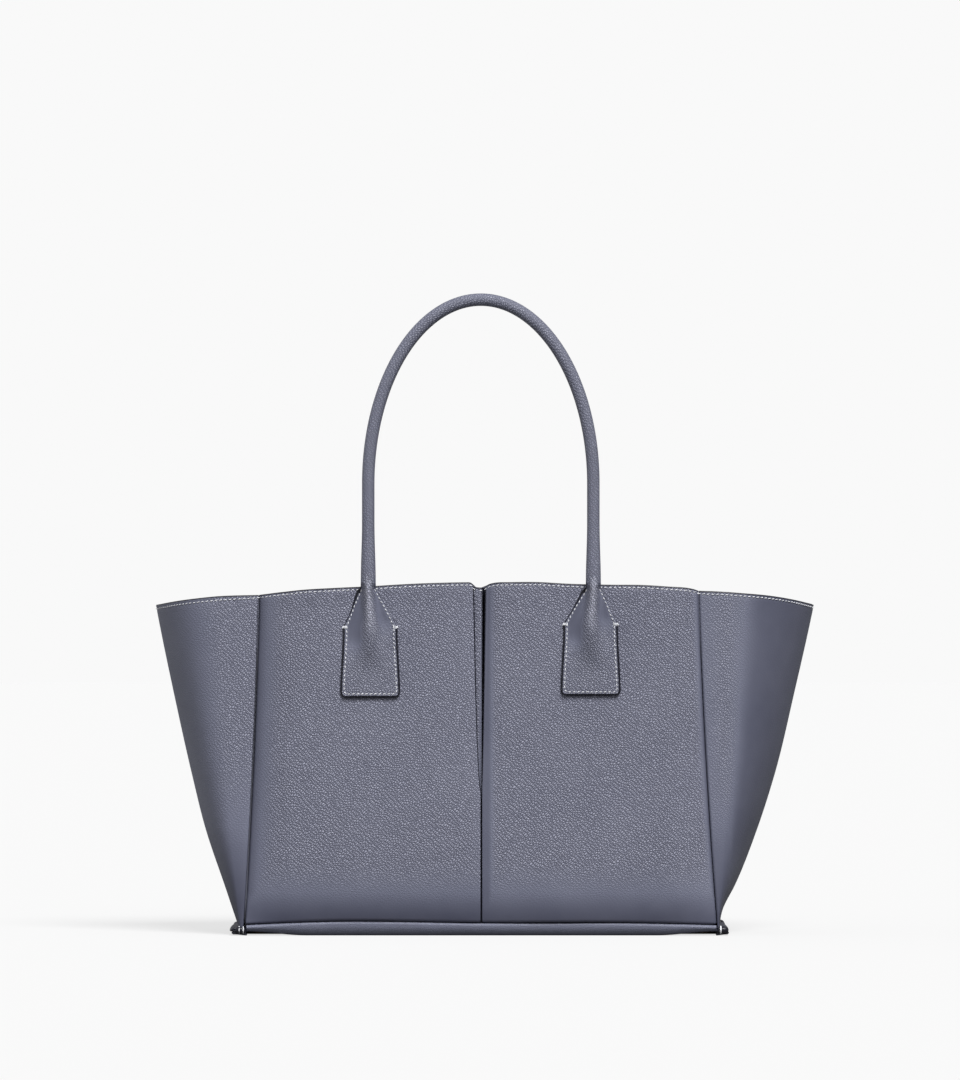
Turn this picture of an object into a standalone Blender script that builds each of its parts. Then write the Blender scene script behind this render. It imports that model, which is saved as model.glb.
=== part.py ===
"""Leather tote bag with flared side wings and two rolled handles on stitched tabs.

Metres, +Z up. The front faces -Y. The bag stands on Z = 0, and the origin is the middle of
its underside. Left is -X, as seen from the front.
"""

import math

import bmesh
import bpy
from mathutils import Vector

# Body, measured outside the leather
BASE_LENGTH = 0.355
BASE_DEPTH = 0.150
RIM_LENGTH = 0.492
RIM_HEIGHT = 0.2655
RIM_DROP = 0.0195
CREASE_SPAN = 0.331
CREASE_DEPTH = 0.132
LOBE_CROWN = 0.014
WALL_BOW_SHARE = 0.35
RIM_CURVE_SHARE = 1.7
PLEAT_SIDE_DROP_SHARE = 0.22
CREASE_TURN_SHARE = 3.2
WING_FULLNESS_SHARE = 2.3
WING_GATHER_SHARE = 0.5
FACE_GATHER_SHARE = 0.8

# Layers of the wall, from the outside in
LEATHER = 0.0018
FACING_LEATHER = 0.0012
BACKING_LEATHER = 0.0010
LINING_CLOTH = 0.0008
LAYER_GAP = 0.0003
SEAM_GAP = 0.0005
FACING_HEIGHT = 0.040

# Centre pleat of the front and of the rear
PLEAT_OPENING = 0.0064
PLEAT_FOOT_HEIGHT = 0.109
PLEAT_RETURN = 0.008
PLEAT_ROLL = 0.0026
INSERT_TOP_DROP = 0.0025
INSERT_OVERRUN = 0.006
LINING_BYPASS_WIDTH = 0.012

# Bottom
BASE_LEATHER = 0.0020
BASE_LIP_HEIGHT = 0.009
BASE_EDGE_RADIUS = 0.007
FLANGE_WIDTH = 0.0065
FLANGE_BEND_RADIUS = 0.0015
BOARD_THICKNESS = 0.0020
BOARD_CLEARANCE = 0.0022

# Handles
HANDLE_SPAN = 0.1688
HANDLE_DIAMETER = 0.0093
HANDLE_LEATHER = 0.0012
LEG_LENGTH = 0.0736
ARCH_RISE = 0.1373
PIVOT_ABOVE_RIM = 0.004
TUBE_END_ABOVE_PIVOT = 0.001
HANDLE_FOLD_OUT_DEG = 110
PIVOT_CLEARANCE = 0.0003
CORE_TIP_REACH = 0.0047

# Handle tabs
TAB_WIDTH = 0.0448
TAB_HEIGHT = 0.0530
TAB_WAIST = 0.0016
TAB_THICKNESS = 0.0036
TAB_CORNER_RADIUS = 0.0032
SHOULDER_BELOW_RIM = 0.0300
NECK_WIDTH = 0.0112
NECK_CURVE_SHARE = 1.6
TAB_SQUARENESS_SHARE = 7
RIDGE_BELOW_SHOULDER = 0.012
BACKING_MARGIN = 0.0020

# Facet counts
FACE_STEPS = 9
ROLL_STEPS = 3
WING_STEPS = 18
WALL_STEPS = 7
BYPASS_STEPS = 4
LINING_STEPS = 4
ARCH_STEPS = 24
TUBE_SIDES = 12
CORE_SIDES = 8
TIP_STEPS = 2
TAB_SIDES = 20
NECK_STEPS = 6
TAB_CORNER_STEPS = 3
BASE_ARC_STEPS = 4

FRONT = -1
REAR = 1
LEFT = -1
RIGHT = 1
SIDE_WORDS = {FRONT: "front", REAR: "rear"}
HAND_WORDS = {LEFT: "left", RIGHT: "right"}

WING_TIP_HEIGHT = RIM_HEIGHT - RIM_DROP
TUBE_RADIUS = HANDLE_DIAMETER / 2
SEAM_CUT = SEAM_GAP / 2
FACING_DEPTH_IN = LEATHER + LAYER_GAP
LINING_DEPTH_IN = FACING_DEPTH_IN + FACING_LEATHER + LAYER_GAP
FLANGE_UNDERSIDE = BASE_LEATHER + LAYER_GAP
FLANGE_TOP = FLANGE_UNDERSIDE + LEATHER
BOARD_UNDERSIDE = BASE_LEATHER + LAYER_GAP
FLOOR_LINING_UNDERSIDE = BOARD_UNDERSIDE + BOARD_THICKNESS + LAYER_GAP
FLOOR_LINING_TOP = FLOOR_LINING_UNDERSIDE + LINING_CLOTH


# Shape of the wall

def flare(z):
    """Share of the way from the base outline to the rim outline at a height."""
    level = z / WING_TIP_HEIGHT
    return (1 + WALL_BOW_SHARE) * level - WALL_BOW_SHARE * level * level


def between(at_base, at_rim, z):
    return at_base + (at_rim - at_base) * flare(z)


def crease_x(z):
    return between(BASE_LENGTH / 2, CREASE_SPAN / 2, z)


def crease_depth(z):
    return between(BASE_DEPTH / 2, CREASE_DEPTH / 2, z)


def wing_x(z):
    return between(BASE_LENGTH / 2, RIM_LENGTH / 2, z)


def pleat_half_gap(z):
    """Half the opening between the two rolled edges: a seam below the foot, a wedge above it."""
    climb = max(z - PLEAT_FOOT_HEIGHT, 0) / (RIM_HEIGHT - PLEAT_FOOT_HEIGHT)
    return SEAM_CUT + (PLEAT_OPENING / 2 - SEAM_CUT) * climb


def lobe_shape(along):
    """Forward crown of a front lobe, from 0 at its pleat edge to 1 at its crease."""
    swing = 2 * along - 1
    if swing < 0:
        return 1 - PLEAT_SIDE_DROP_SHARE * swing * swing
    return 1 - swing ** CREASE_TURN_SHARE


def face_depth(x, z):
    """Distance of the front leather's outside from the middle plane."""
    start = pleat_half_gap(z) + PLEAT_ROLL
    along = min(max((abs(x) - start) / (crease_x(z) - start), 0), 1)
    return crease_depth(z) + LOBE_CROWN * flare(z) * lobe_shape(along)


def rim_height(x):
    reach = min(abs(x) / (RIM_LENGTH / 2), 1)
    return RIM_HEIGHT - RIM_DROP * reach ** RIM_CURVE_SHARE


def gathered(even, gather_share):
    """Even spacing, from -1 to 1, drawn closer together towards both ends."""
    return even + (math.sin(math.pi / 2 * even) - even) * gather_share


def wing_points(z):
    """Side wing from the front crease round to the rear crease, right side."""
    length = wing_x(z) - crease_x(z)
    depth = crease_depth(z)
    points = []
    for step in range(WING_STEPS + 1):
        back = gathered(2 * step / WING_STEPS - 1, WING_GATHER_SHARE)
        out = (1 - abs(back) ** WING_FULLNESS_SHARE) ** (1 / WING_FULLNESS_SHARE)
        points.append(Vector((crease_x(z) + length * out, depth * back)))
    return points


def face_points(z, start):
    """Front face from a start beside the pleat to the crease."""
    points = []
    for step in range(FACE_STEPS + 1):
        x = start + (crease_x(z) - start) * gathered(step / FACE_STEPS, FACE_GATHER_SHARE)
        points.append(Vector((x, -face_depth(x, z))))
    return points


def leather_outline(z):
    """Right half of the leather: pleat return, rolled edge, front face, wing and the same behind."""
    gap = pleat_half_gap(z)
    depth = face_depth(gap, z)
    front = [Vector((gap, PLEAT_RETURN - depth))]
    for step in range(ROLL_STEPS):
        turn = math.pi / 2 * step / ROLL_STEPS
        across = gap + PLEAT_ROLL * (1 - math.cos(turn))
        front.append(Vector((across, PLEAT_ROLL * (1 - math.sin(turn)) - depth)))
    front += face_points(z, gap + PLEAT_ROLL)
    rear = [Vector((point.x, -point.y)) for point in reversed(front)]
    return front + wing_points(z)[1:-1] + rear


FIRST_STATION = 0
CREASE_STATION = ROLL_STEPS + 1 + FACE_STEPS
REAR_CREASE_STATION = CREASE_STATION + WING_STEPS


def lined_outline(z):
    """Left rear crease to right rear crease, with a bypass round the pleat and its insert."""
    hold = PLEAT_OPENING / 2 + LEATHER + SEAM_GAP
    bypass = PLEAT_RETURN + LEATHER
    right = [Vector((0, bypass - face_depth(0, z)))]
    for step in range(BYPASS_STEPS):
        share = step / BYPASS_STEPS
        ease = share * share * (3 - 2 * share)
        x = hold + LINING_BYPASS_WIDTH * share
        right.append(Vector((x, bypass * (1 - ease) - face_depth(x, z))))
    face = face_points(z, hold + LINING_BYPASS_WIDTH)
    right += face + wing_points(z)[1:] + [Vector((face[-2].x, -face[-2].y))]
    left = [Vector((-point.x, point.y)) for point in reversed(right[1:])]
    return left + right


LINED_LEFT_CREASE = WING_STEPS + 1
LINED_RIGHT_CREASE = LINED_LEFT_CREASE + 2 * (BYPASS_STEPS + 1 + FACE_STEPS)
LINED_REAR_CREASE = LINED_RIGHT_CREASE + WING_STEPS


def inset(points, station, depth):
    """A point of an outline moved inwards, mitred between its neighbours."""
    here = points[station]
    normals = []
    for first, second in ((station - 1, station), (station, station + 1)):
        if first >= 0 and second < len(points):
            along = (points[second] - points[first]).normalized()
            normals.append(Vector((-along.y, along.x)))
    if len(normals) == 1:
        return here + normals[0] * depth
    total = normals[0] + normals[1]
    return here + total * (depth / (1 + normals[0].dot(normals[1])))


def cut_back(points, station, first, last):
    """Step from the end of a sheet towards its own middle, which leaves the seam's gap."""
    if station == first:
        return (points[station + 1] - points[station]).normalized() * SEAM_CUT
    if station == last:
        return (points[station - 1] - points[station]).normalized() * SEAM_CUT
    return Vector((0, 0))


def wall_point(outline, station, z, depth, first, last):
    points = outline(z)
    place = inset(points, station, depth) + cut_back(points, station, first, last)
    return Vector((place.x, place.y, z))


def column_top(outline, station):
    """Rim height over one station of an outline."""
    return rim_height(outline(WING_TIP_HEIGHT)[station].x)


# Solids

def scene_object(name, mesh, material, parent=None):
    obj = bpy.data.objects.new(name, mesh)
    obj.data.materials.append(material)
    obj.parent = parent
    bpy.context.scene.collection.objects.link(obj)
    return obj


def closed_mesh(name, points, faces, sharp_angle_deg=35):
    """Mesh of one or more closed bodies with their faces pointing out."""
    mesh = bpy.data.meshes.new(name)
    mesh.from_pydata(points, [], faces)
    shape = bmesh.new()
    shape.from_mesh(mesh)
    bmesh.ops.recalc_face_normals(shape, faces=shape.faces)
    shape.to_mesh(mesh)
    shape.free()
    mesh.shade_smooth()
    mesh.set_sharp_from_angle(angle=math.radians(sharp_angle_deg))
    return mesh


def sheet_faces(rows, columns, start=0):
    """Quads of a sheet whose outer grid is followed by its inner grid."""
    inner = start + rows * columns
    faces = []
    for row in range(rows - 1):
        for column in range(columns - 1):
            corner = row * columns + column
            quad = (corner, corner + 1, corner + columns + 1, corner + columns)
            faces.append(tuple(start + index for index in quad))
            faces.append(tuple(inner + index for index in reversed(quad)))
    border = list(range(columns))
    border += [row * columns + columns - 1 for row in range(1, rows)]
    border += [(rows - 1) * columns + column for column in range(columns - 2, -1, -1)]
    border += [row * columns for row in range(rows - 2, 0, -1)]
    for index, following in zip(border, border[1:] + border[:1]):
        faces.append((start + index, inner + index, inner + following, start + following))
    return faces


def sheet_object(name, outer, inner, material, hand=RIGHT, side=FRONT):
    """Sheet between an outer and an inner grid, mirrored to its hand and side."""
    points = [Vector((p.x * hand, -p.y * side, p.z)) for row in outer + inner for p in row]
    mesh = closed_mesh(name, points, sheet_faces(len(outer), len(outer[0])))
    return scene_object(name, mesh, material)


def wall_grids(outline, first, last, near, far, low, high, steps):
    """Outer and inner grid of a wall sheet; low and high turn a rim height into a height."""
    grids = []
    for depth in (near, far):
        rows = []
        for step in range(steps + 1):
            row = []
            for station in range(first, last + 1):
                top = column_top(outline, station)
                z = low(top) + (high(top) - low(top)) * step / steps
                row.append(wall_point(outline, station, z, depth, first, last))
            rows.append(row)
        grids.append(rows)
    return grids


def ring_tube(rings, closed_ends=True):
    """Points and faces of rings joined in a row, with a fan over each end."""
    sides = len(rings[0])
    points = [point for ring in rings for point in ring]
    faces = []
    for ring in range(len(rings) - 1):
        for side in range(sides):
            following = (side + 1) % sides
            low = ring * sides
            high = low + sides
            faces.append((low + side, low + following, high + following, high + side))
    if closed_ends:
        for first, ring in ((0, rings[0]), ((len(rings) - 1) * sides, rings[-1])):
            points.append(sum(ring, Vector()) / sides)
            for side in range(sides):
                faces.append((first + side, first + (side + 1) % sides, len(points) - 1))
    return points, faces


# Sewn body

def add_panels(leather):
    for side in (FRONT, REAR):
        for hand in (LEFT, RIGHT):
            outer, inner = wall_grids(
                leather_outline, FIRST_STATION, CREASE_STATION, 0, LEATHER,
                lambda top: BASE_LIP_HEIGHT + SEAM_CUT, lambda top: top, WALL_STEPS)
            name = f"{SIDE_WORDS[side]}_{HAND_WORDS[hand]}_panel"
            sheet_object(name, outer, inner, leather, hand, side)


def add_pleat_inserts(leather):
    """Recessed strip that closes each pleat behind its two rolled edges."""
    low = PLEAT_FOOT_HEIGHT - INSERT_OVERRUN
    high = RIM_HEIGHT - INSERT_TOP_DROP
    for side in (FRONT, REAR):
        grids = []
        for depth in (PLEAT_RETURN + LAYER_GAP, PLEAT_RETURN + LAYER_GAP + LEATHER):
            rows = []
            for step in range(WALL_STEPS + 1):
                z = low + (high - low) * step / WALL_STEPS
                half = pleat_half_gap(z) + LEATHER
                y = depth - face_depth(0, z)
                rows.append([Vector((-half, y, z)), Vector((0, y, z)), Vector((half, y, z))])
            grids.append(rows)
        name = f"{SIDE_WORDS[side]}_pleat_insert"
        sheet_object(name, grids[0], grids[1], leather, side=side)


def add_gussets(leather):
    """Side wings, each with its lower edge turned out over the flange of the base."""
    first = CREASE_STATION
    last = REAR_CREASE_STATION
    wall_foot = FLANGE_TOP + FLANGE_BEND_RADIUS
    outer, inner = wall_grids(
        leather_outline, first, last, 0, LEATHER,
        lambda top: wall_foot, lambda top: top, WALL_STEPS + 1)
    foot_outer = []
    foot_inner = []
    for turn in (0, math.pi / 4):
        for rows, wall_row, radius in (
                (foot_outer, outer[0], FLANGE_BEND_RADIUS),
                (foot_inner, inner[0], FLANGE_BEND_RADIUS + LEATHER)):
            row = []
            for wall, skin in zip(wall_row, outer[0]):
                x = skin.x + FLANGE_BEND_RADIUS - radius * math.sin(turn)
                row.append(Vector((x, wall.y, wall_foot - radius * math.cos(turn))))
            rows.append(row)
    flat = Vector((FLANGE_WIDTH - FLANGE_BEND_RADIUS, 0, 0))
    outer = [[point + flat for point in foot_outer[0]]] + foot_outer + outer
    inner = [[point + flat for point in foot_inner[0]]] + foot_inner + inner
    for hand in (LEFT, RIGHT):
        sheet_object(f"{HAND_WORDS[hand]}_gusset", outer, inner, leather, hand)


def add_facings(facing_leather):
    """Leather strip inside the rim, stitched to the panels along the top edge."""
    near = FACING_DEPTH_IN
    far = FACING_DEPTH_IN + FACING_LEATHER
    for name, first, last, hand, side in lined_ranges("facing"):
        outer, inner = wall_grids(
            lined_outline, first, last, near, far,
            lambda top: top - FACING_HEIGHT, lambda top: top, 1)
        sheet_object(name, outer, inner, facing_leather, hand, side)


def add_linings(cloth):
    near = LINING_DEPTH_IN
    far = LINING_DEPTH_IN + LINING_CLOTH
    for name, first, last, hand, side in lined_ranges("lining"):
        outer, inner = wall_grids(
            lined_outline, first, last, near, far,
            lambda top: FLOOR_LINING_TOP + LAYER_GAP,
            lambda top: top - FACING_HEIGHT - LAYER_GAP, LINING_STEPS)
        sheet_object(name, outer, inner, cloth, hand, side)


def lined_ranges(word):
    """Name, first and last station, hand and side of the four pieces of an inner layer."""
    return (
        (f"front_{word}", LINED_LEFT_CREASE, LINED_RIGHT_CREASE, RIGHT, FRONT),
        (f"rear_{word}", LINED_LEFT_CREASE, LINED_RIGHT_CREASE, RIGHT, REAR),
        (f"left_{word}", LINED_RIGHT_CREASE, LINED_REAR_CREASE, LEFT, FRONT),
        (f"right_{word}", LINED_RIGHT_CREASE, LINED_REAR_CREASE, RIGHT, FRONT),
    )


# Bottom

def base_profile(thickness_in):
    """Section across the base, front lip to rear lip, at a depth inside the leather."""
    half = BASE_DEPTH / 2
    radius = BASE_EDGE_RADIUS
    front = [Vector((thickness_in - half, BASE_LIP_HEIGHT - SEAM_CUT))]
    for step in range(BASE_ARC_STEPS + 1):
        turn = math.pi / 2 * step / BASE_ARC_STEPS
        y = radius - half - (radius - thickness_in) * math.cos(turn)
        front.append(Vector((y, radius - (radius - thickness_in) * math.sin(turn))))
    rear = [Vector((-point.x, point.y)) for point in reversed(front)]
    return front + rear


def add_base(leather, board_material, cloth):
    """Base leather with turned-up front and rear lips and a flat flange along each side."""
    lip_end = BASE_LENGTH / 2 - LEATHER - SEAM_GAP
    flange_end = BASE_LENGTH / 2 + FLANGE_WIDTH
    outside = base_profile(0)
    inside = base_profile(BASE_LEATHER)
    outer = [[Vector((x, p.x, p.y)) for p in outside] for x in (-lip_end, 0, lip_end)]
    inner = [[Vector((x, p.x, p.y)) for p in inside] for x in (-lip_end, 0, lip_end)]
    rows = len(outer)
    columns = len(outer[0])
    points = [point for row in outer + inner for point in row]
    faces = sheet_faces(rows, columns)
    flat = BASE_ARC_STEPS + 1
    for row, x in ((0, -flange_end), (rows - 1, flange_end)):
        corner = row * columns + flat
        ring = (corner, corner + 1, corner + 1 + rows * columns, corner + rows * columns)
        faces = [face for face in faces if set(face) != set(ring)]
        tip = len(points)
        points += [Vector((x, points[index].y, points[index].z)) for index in ring]
        for step in range(len(ring)):
            following = (step + 1) % len(ring)
            faces.append((ring[step], ring[following], tip + following, tip + step))
        faces.append(tuple(tip + step for step in range(len(ring))))
    scene_object("base_panel", closed_mesh("base_panel", points, faces), leather)

    board_length = 2 * (BASE_LENGTH / 2 - LEATHER - BOARD_CLEARANCE)
    board_depth = BASE_DEPTH - 2 * BASE_EDGE_RADIUS
    add_plate("base_board", board_length, board_depth, BOARD_UNDERSIDE, BOARD_THICKNESS,
              board_material)
    lining_depth = BASE_DEPTH - 2 * LINING_DEPTH_IN
    add_plate("base_lining", board_length, lining_depth, FLOOR_LINING_UNDERSIDE, LINING_CLOTH, cloth)


def add_plate(name, length, depth, underside, thickness, material):
    """Flat plate with rounded corners, centred on the origin."""
    radius = BASE_EDGE_RADIUS
    ring = []
    for corner in range(4):
        for step in range(BASE_ARC_STEPS + 1):
            turn = math.pi / 2 * (corner + step / BASE_ARC_STEPS)
            x = math.copysign(length / 2 - radius, math.cos(math.pi / 2 * (corner + 1 / 2)))
            y = math.copysign(depth / 2 - radius, math.sin(math.pi / 2 * (corner + 1 / 2)))
            y += radius * math.sin(turn)
            ring.append(Vector((x + radius * math.cos(turn), y, underside)))
    lifted = [point + Vector((0, 0, thickness)) for point in ring]
    points, faces = ring_tube([ring, lifted])
    scene_object(name, closed_mesh(name, points, faces), material)


# Handles and tabs

HANDLE_X = HANDLE_SPAN / 2
HANDLE_RIM_HEIGHT = rim_height(HANDLE_X)
PIVOT_HEIGHT = HANDLE_RIM_HEIGHT + PIVOT_ABOVE_RIM
PIVOT_DEPTH = face_depth(HANDLE_X, HANDLE_RIM_HEIGHT) + LAYER_GAP + TUBE_RADIUS
SPRING_HEIGHT = PIVOT_HEIGHT + LEG_LENGTH
SHOULDER_HEIGHT = HANDLE_RIM_HEIGHT - SHOULDER_BELOW_RIM
TAB_FOOT_HEIGHT = SHOULDER_HEIGHT - TAB_HEIGHT
NECK_SLOPE = math.radians(HANDLE_FOLD_OUT_DEG) - math.pi / 2
TUBE_END_REACH = math.hypot(TUBE_RADIUS, TUBE_END_ABOVE_PIVOT)
NECK_TOP_HEIGHT = PIVOT_HEIGHT - (TUBE_END_REACH + PIVOT_CLEARANCE) / math.cos(NECK_SLOPE)


def handle_path(end_height):
    """Centre line from the left leg's end over the arch to the right leg's end."""
    path = [Vector((-HANDLE_X, 0, end_height))]
    for step in range(ARCH_STEPS + 1):
        turn = math.pi * (1 - step / ARCH_STEPS)
        x = HANDLE_X * math.cos(turn)
        path.append(Vector((x, 0, SPRING_HEIGHT + ARCH_RISE * math.sin(turn))))
    path.append(Vector((HANDLE_X, 0, end_height)))
    return path


def path_ring(path, index, radius, sides):
    """Ring square to a path that stays in one plane."""
    ahead = path[min(index + 1, len(path) - 1)]
    behind = path[max(index - 1, 0)]
    along = (ahead - behind).normalized()
    across = along.cross(Vector((0, 1, 0)))
    ring = []
    for side in range(sides):
        turn = 2 * math.pi * side / sides
        ring.append(path[index] + across * (radius * math.cos(turn))
                    + Vector((0, radius * math.sin(turn), 0)))
    return ring


def tube_solid():
    """Rolled leather: an open tube with its bore."""
    path = handle_path(PIVOT_HEIGHT + TUBE_END_ABOVE_PIVOT)
    outer = [path_ring(path, index, TUBE_RADIUS, TUBE_SIDES) for index in range(len(path))]
    bore = TUBE_RADIUS - HANDLE_LEATHER
    inner = [path_ring(path, index, bore, TUBE_SIDES) for index in range(len(path))]
    points, faces = ring_tube(outer + inner[::-1], closed_ends=False)
    last = (len(outer) + len(inner) - 1) * TUBE_SIDES
    for side in range(TUBE_SIDES):
        following = (side + 1) % TUBE_SIDES
        faces.append((side, following, last + following, last + side))
    return points, faces


def core_solid():
    """Cord filler of the handle, with a round tip at each leg."""
    radius = TUBE_RADIUS - HANDLE_LEATHER - LAYER_GAP
    tip_centre = PIVOT_HEIGHT - CORE_TIP_REACH + radius
    path = handle_path(tip_centre)
    rings = [path_ring(path, index, radius, CORE_SIDES) for index in range(len(path))]
    first, last = rings[0], rings[-1]
    for step in range(1, TIP_STEPS + 1):
        turn = math.pi / 2 * step / (TIP_STEPS + 1 / 2)
        drop = Vector((0, 0, radius * math.sin(turn)))
        left = [path[0] + (point - path[0]) * math.cos(turn) - drop for point in first]
        right = [path[-1] + (point - path[-1]) * math.cos(turn) - drop for point in last]
        rings = [left] + rings + [right]
    return ring_tube(rings)


def add_handles(leather, cord):
    for side in (FRONT, REAR):
        word = SIDE_WORDS[side]
        pivot = bpy.data.objects.new(f"{word}_handle_pivot", None)
        pivot.location = Vector((0, side * PIVOT_DEPTH, PIVOT_HEIGHT))
        bpy.context.scene.collection.objects.link(pivot)
        for name, solid, material in (
                (f"{word}_handle_tube", tube_solid(), leather),
                (f"{word}_handle_core", core_solid(), cord)):
            points, faces = solid
            points = [point - Vector((0, 0, PIVOT_HEIGHT)) for point in points]
            scene_object(name, closed_mesh(name, points, faces), material, parent=pivot)


def tab_half_width(z):
    """Half width of a tab: round foot corners, waisted sides and a neck that draws in."""
    half = TAB_WIDTH / 2
    above_foot = z - TAB_FOOT_HEIGHT
    if above_foot < TAB_CORNER_RADIUS:
        rest = TAB_CORNER_RADIUS - above_foot
        return half - TAB_CORNER_RADIUS + math.sqrt(max(TAB_CORNER_RADIUS ** 2 - rest ** 2, 0))
    if z <= SHOULDER_HEIGHT:
        share = (above_foot - TAB_CORNER_RADIUS) / (TAB_HEIGHT - TAB_CORNER_RADIUS)
        return half - TAB_WAIST * share
    share = min((z - SHOULDER_HEIGHT) / (NECK_TOP_HEIGHT - SHOULDER_HEIGHT), 1)
    return NECK_WIDTH / 2 + (half - TAB_WAIST - NECK_WIDTH / 2) * (1 - share) ** NECK_CURVE_SHARE


def neck_share(z):
    """0 on the flat of a tab, 1 where its neck is round."""
    start = SHOULDER_HEIGHT - RIDGE_BELOW_SHOULDER
    share = min(max((z - start) / (NECK_TOP_HEIGHT - start), 0), 1)
    return share * share * (3 - 2 * share)


def tab_ring(z, tilt_share):
    """Section of a tab, its back on the front leather, its top ring tilted clear of the fold."""
    round_share = neck_share(z)
    half = tab_half_width(z)
    thickness = TAB_THICKNESS + (HANDLE_DIAMETER - TAB_THICKNESS) * round_share
    power = 2 + (TAB_SQUARENESS_SHARE - 2) * (1 - round_share)
    ring = []
    for side in range(TAB_SIDES):
        turn = 2 * math.pi * side / TAB_SIDES
        across = math.copysign(abs(math.cos(turn)) ** (2 / power), math.cos(turn))
        deep = math.copysign(abs(math.sin(turn)) ** (2 / power), math.sin(turn))
        x = HANDLE_X + half * across
        y = thickness / 2 * (deep - 1) - face_depth(x, min(z, HANDLE_RIM_HEIGHT)) - LAYER_GAP
        lift = tilt_share * math.tan(NECK_SLOPE) * (y + PIVOT_DEPTH)
        ring.append(Vector((x, y, z + lift)))
    return ring


def add_tabs(leather):
    heights = []
    for step in range(TAB_CORNER_STEPS + 1):
        turn = math.pi / 2 * step / TAB_CORNER_STEPS
        heights.append((TAB_FOOT_HEIGHT + TAB_CORNER_RADIUS * (1 - math.cos(turn)), 0))
    ridge = SHOULDER_HEIGHT - RIDGE_BELOW_SHOULDER
    heights.append((ridge, 0))
    for step in range(NECK_STEPS + 1):
        share = step / NECK_STEPS
        z = SHOULDER_HEIGHT + (NECK_TOP_HEIGHT - SHOULDER_HEIGHT) * share
        heights.append((z, max(2 * share - 1, 0)))
    rings = [tab_ring(z, tilt) for z, tilt in heights]
    points, faces = ring_tube(rings)
    for side in (FRONT, REAR):
        for hand in (LEFT, RIGHT):
            name = f"{SIDE_WORDS[side]}_{HAND_WORDS[hand]}_tab"
            placed = [Vector((p.x * hand, -p.y * side, p.z)) for p in points]
            scene_object(name, closed_mesh(name, placed, faces), leather)


def add_backings(leather):
    """Four patches between panel and lining, each behind one tab."""
    half = TAB_WIDTH / 2 - BACKING_MARGIN
    low = TAB_FOOT_HEIGHT + BACKING_MARGIN
    high = HANDLE_RIM_HEIGHT - FACING_HEIGHT - BACKING_MARGIN
    grids = []
    for depth in (FACING_DEPTH_IN, FACING_DEPTH_IN + BACKING_LEATHER):
        rows = []
        for z in (low, (low + high) / 2, high):
            places = [HANDLE_X - half, HANDLE_X, HANDLE_X + half]
            rows.append([Vector((x, depth - face_depth(x, z), z)) for x in places])
        grids.append(rows)
    for side in (FRONT, REAR):
        for hand in (LEFT, RIGHT):
            name = f"{SIDE_WORDS[side]}_{HAND_WORDS[hand]}_backing"
            sheet_object(name, grids[0], grids[1], leather, hand, side)


# Materials

def material(name, colour, roughness):
    """Principled material from an sRGB colour."""
    made = bpy.data.materials.new(name)
    made.use_nodes = True
    shader = made.node_tree.nodes["Principled BSDF"]
    linear = [(channel / 255) ** 2.2 for channel in colour]
    shader.inputs["Base Color"].default_value = (*linear, 1)
    shader.inputs["Roughness"].default_value = roughness
    shader.inputs["Metallic"].default_value = 0
    return made


def main():
    for obj in list(bpy.data.objects):
        bpy.data.objects.remove(obj, do_unlink=True)
    outer_leather = material("slate_leather", (117, 120, 133), 0.55)
    facing_leather = material("facing_leather", (96, 98, 110), 0.6)
    lining_cloth = material("lining_cloth", (88, 90, 101), 0.9)
    board = material("base_board_fibre", (122, 104, 84), 0.9)
    cord = material("cord_filler", (206, 200, 188), 0.9)
    add_panels(outer_leather)
    add_pleat_inserts(outer_leather)
    add_gussets(outer_leather)
    add_facings(facing_leather)
    add_linings(lining_cloth)
    add_base(outer_leather, board, lining_cloth)
    add_handles(outer_leather, cord)
    add_tabs(outer_leather)
    add_backings(facing_leather)


main()
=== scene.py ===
"""Looks of the leather tote bag: grained shell, pleats, rolled handles, stitches and lining.

Metres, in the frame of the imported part: +Z up, the front faces -Y, left is -X.
"""

import math

import bmesh
import bpy
import numpy as np
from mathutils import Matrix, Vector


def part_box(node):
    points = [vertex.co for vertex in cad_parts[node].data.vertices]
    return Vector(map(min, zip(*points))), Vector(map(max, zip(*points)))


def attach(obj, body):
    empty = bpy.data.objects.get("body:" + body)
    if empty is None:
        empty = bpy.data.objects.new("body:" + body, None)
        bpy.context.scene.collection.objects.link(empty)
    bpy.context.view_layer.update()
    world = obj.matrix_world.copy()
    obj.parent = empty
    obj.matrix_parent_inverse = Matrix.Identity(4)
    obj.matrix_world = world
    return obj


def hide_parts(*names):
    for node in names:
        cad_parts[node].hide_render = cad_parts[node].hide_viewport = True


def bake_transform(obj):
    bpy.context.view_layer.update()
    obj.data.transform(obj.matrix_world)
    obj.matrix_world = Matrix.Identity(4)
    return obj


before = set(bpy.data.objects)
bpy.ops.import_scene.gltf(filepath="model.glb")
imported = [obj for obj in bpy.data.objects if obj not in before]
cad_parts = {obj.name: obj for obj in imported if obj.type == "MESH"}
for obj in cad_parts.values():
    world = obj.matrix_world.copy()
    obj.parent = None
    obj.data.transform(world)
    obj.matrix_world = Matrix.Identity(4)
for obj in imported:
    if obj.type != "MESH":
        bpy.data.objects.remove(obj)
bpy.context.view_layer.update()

LEFT, RIGHT = -1, 1
FRONT, REAR = -1, 1
HANDS = {"left": LEFT, "right": RIGHT}
SIDES = {"front": FRONT, "rear": REAR}
CORNERS = {f"{side_word}_{hand_word}": (side, hand)
           for side_word, side in SIDES.items() for hand_word, hand in HANDS.items()}

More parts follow.
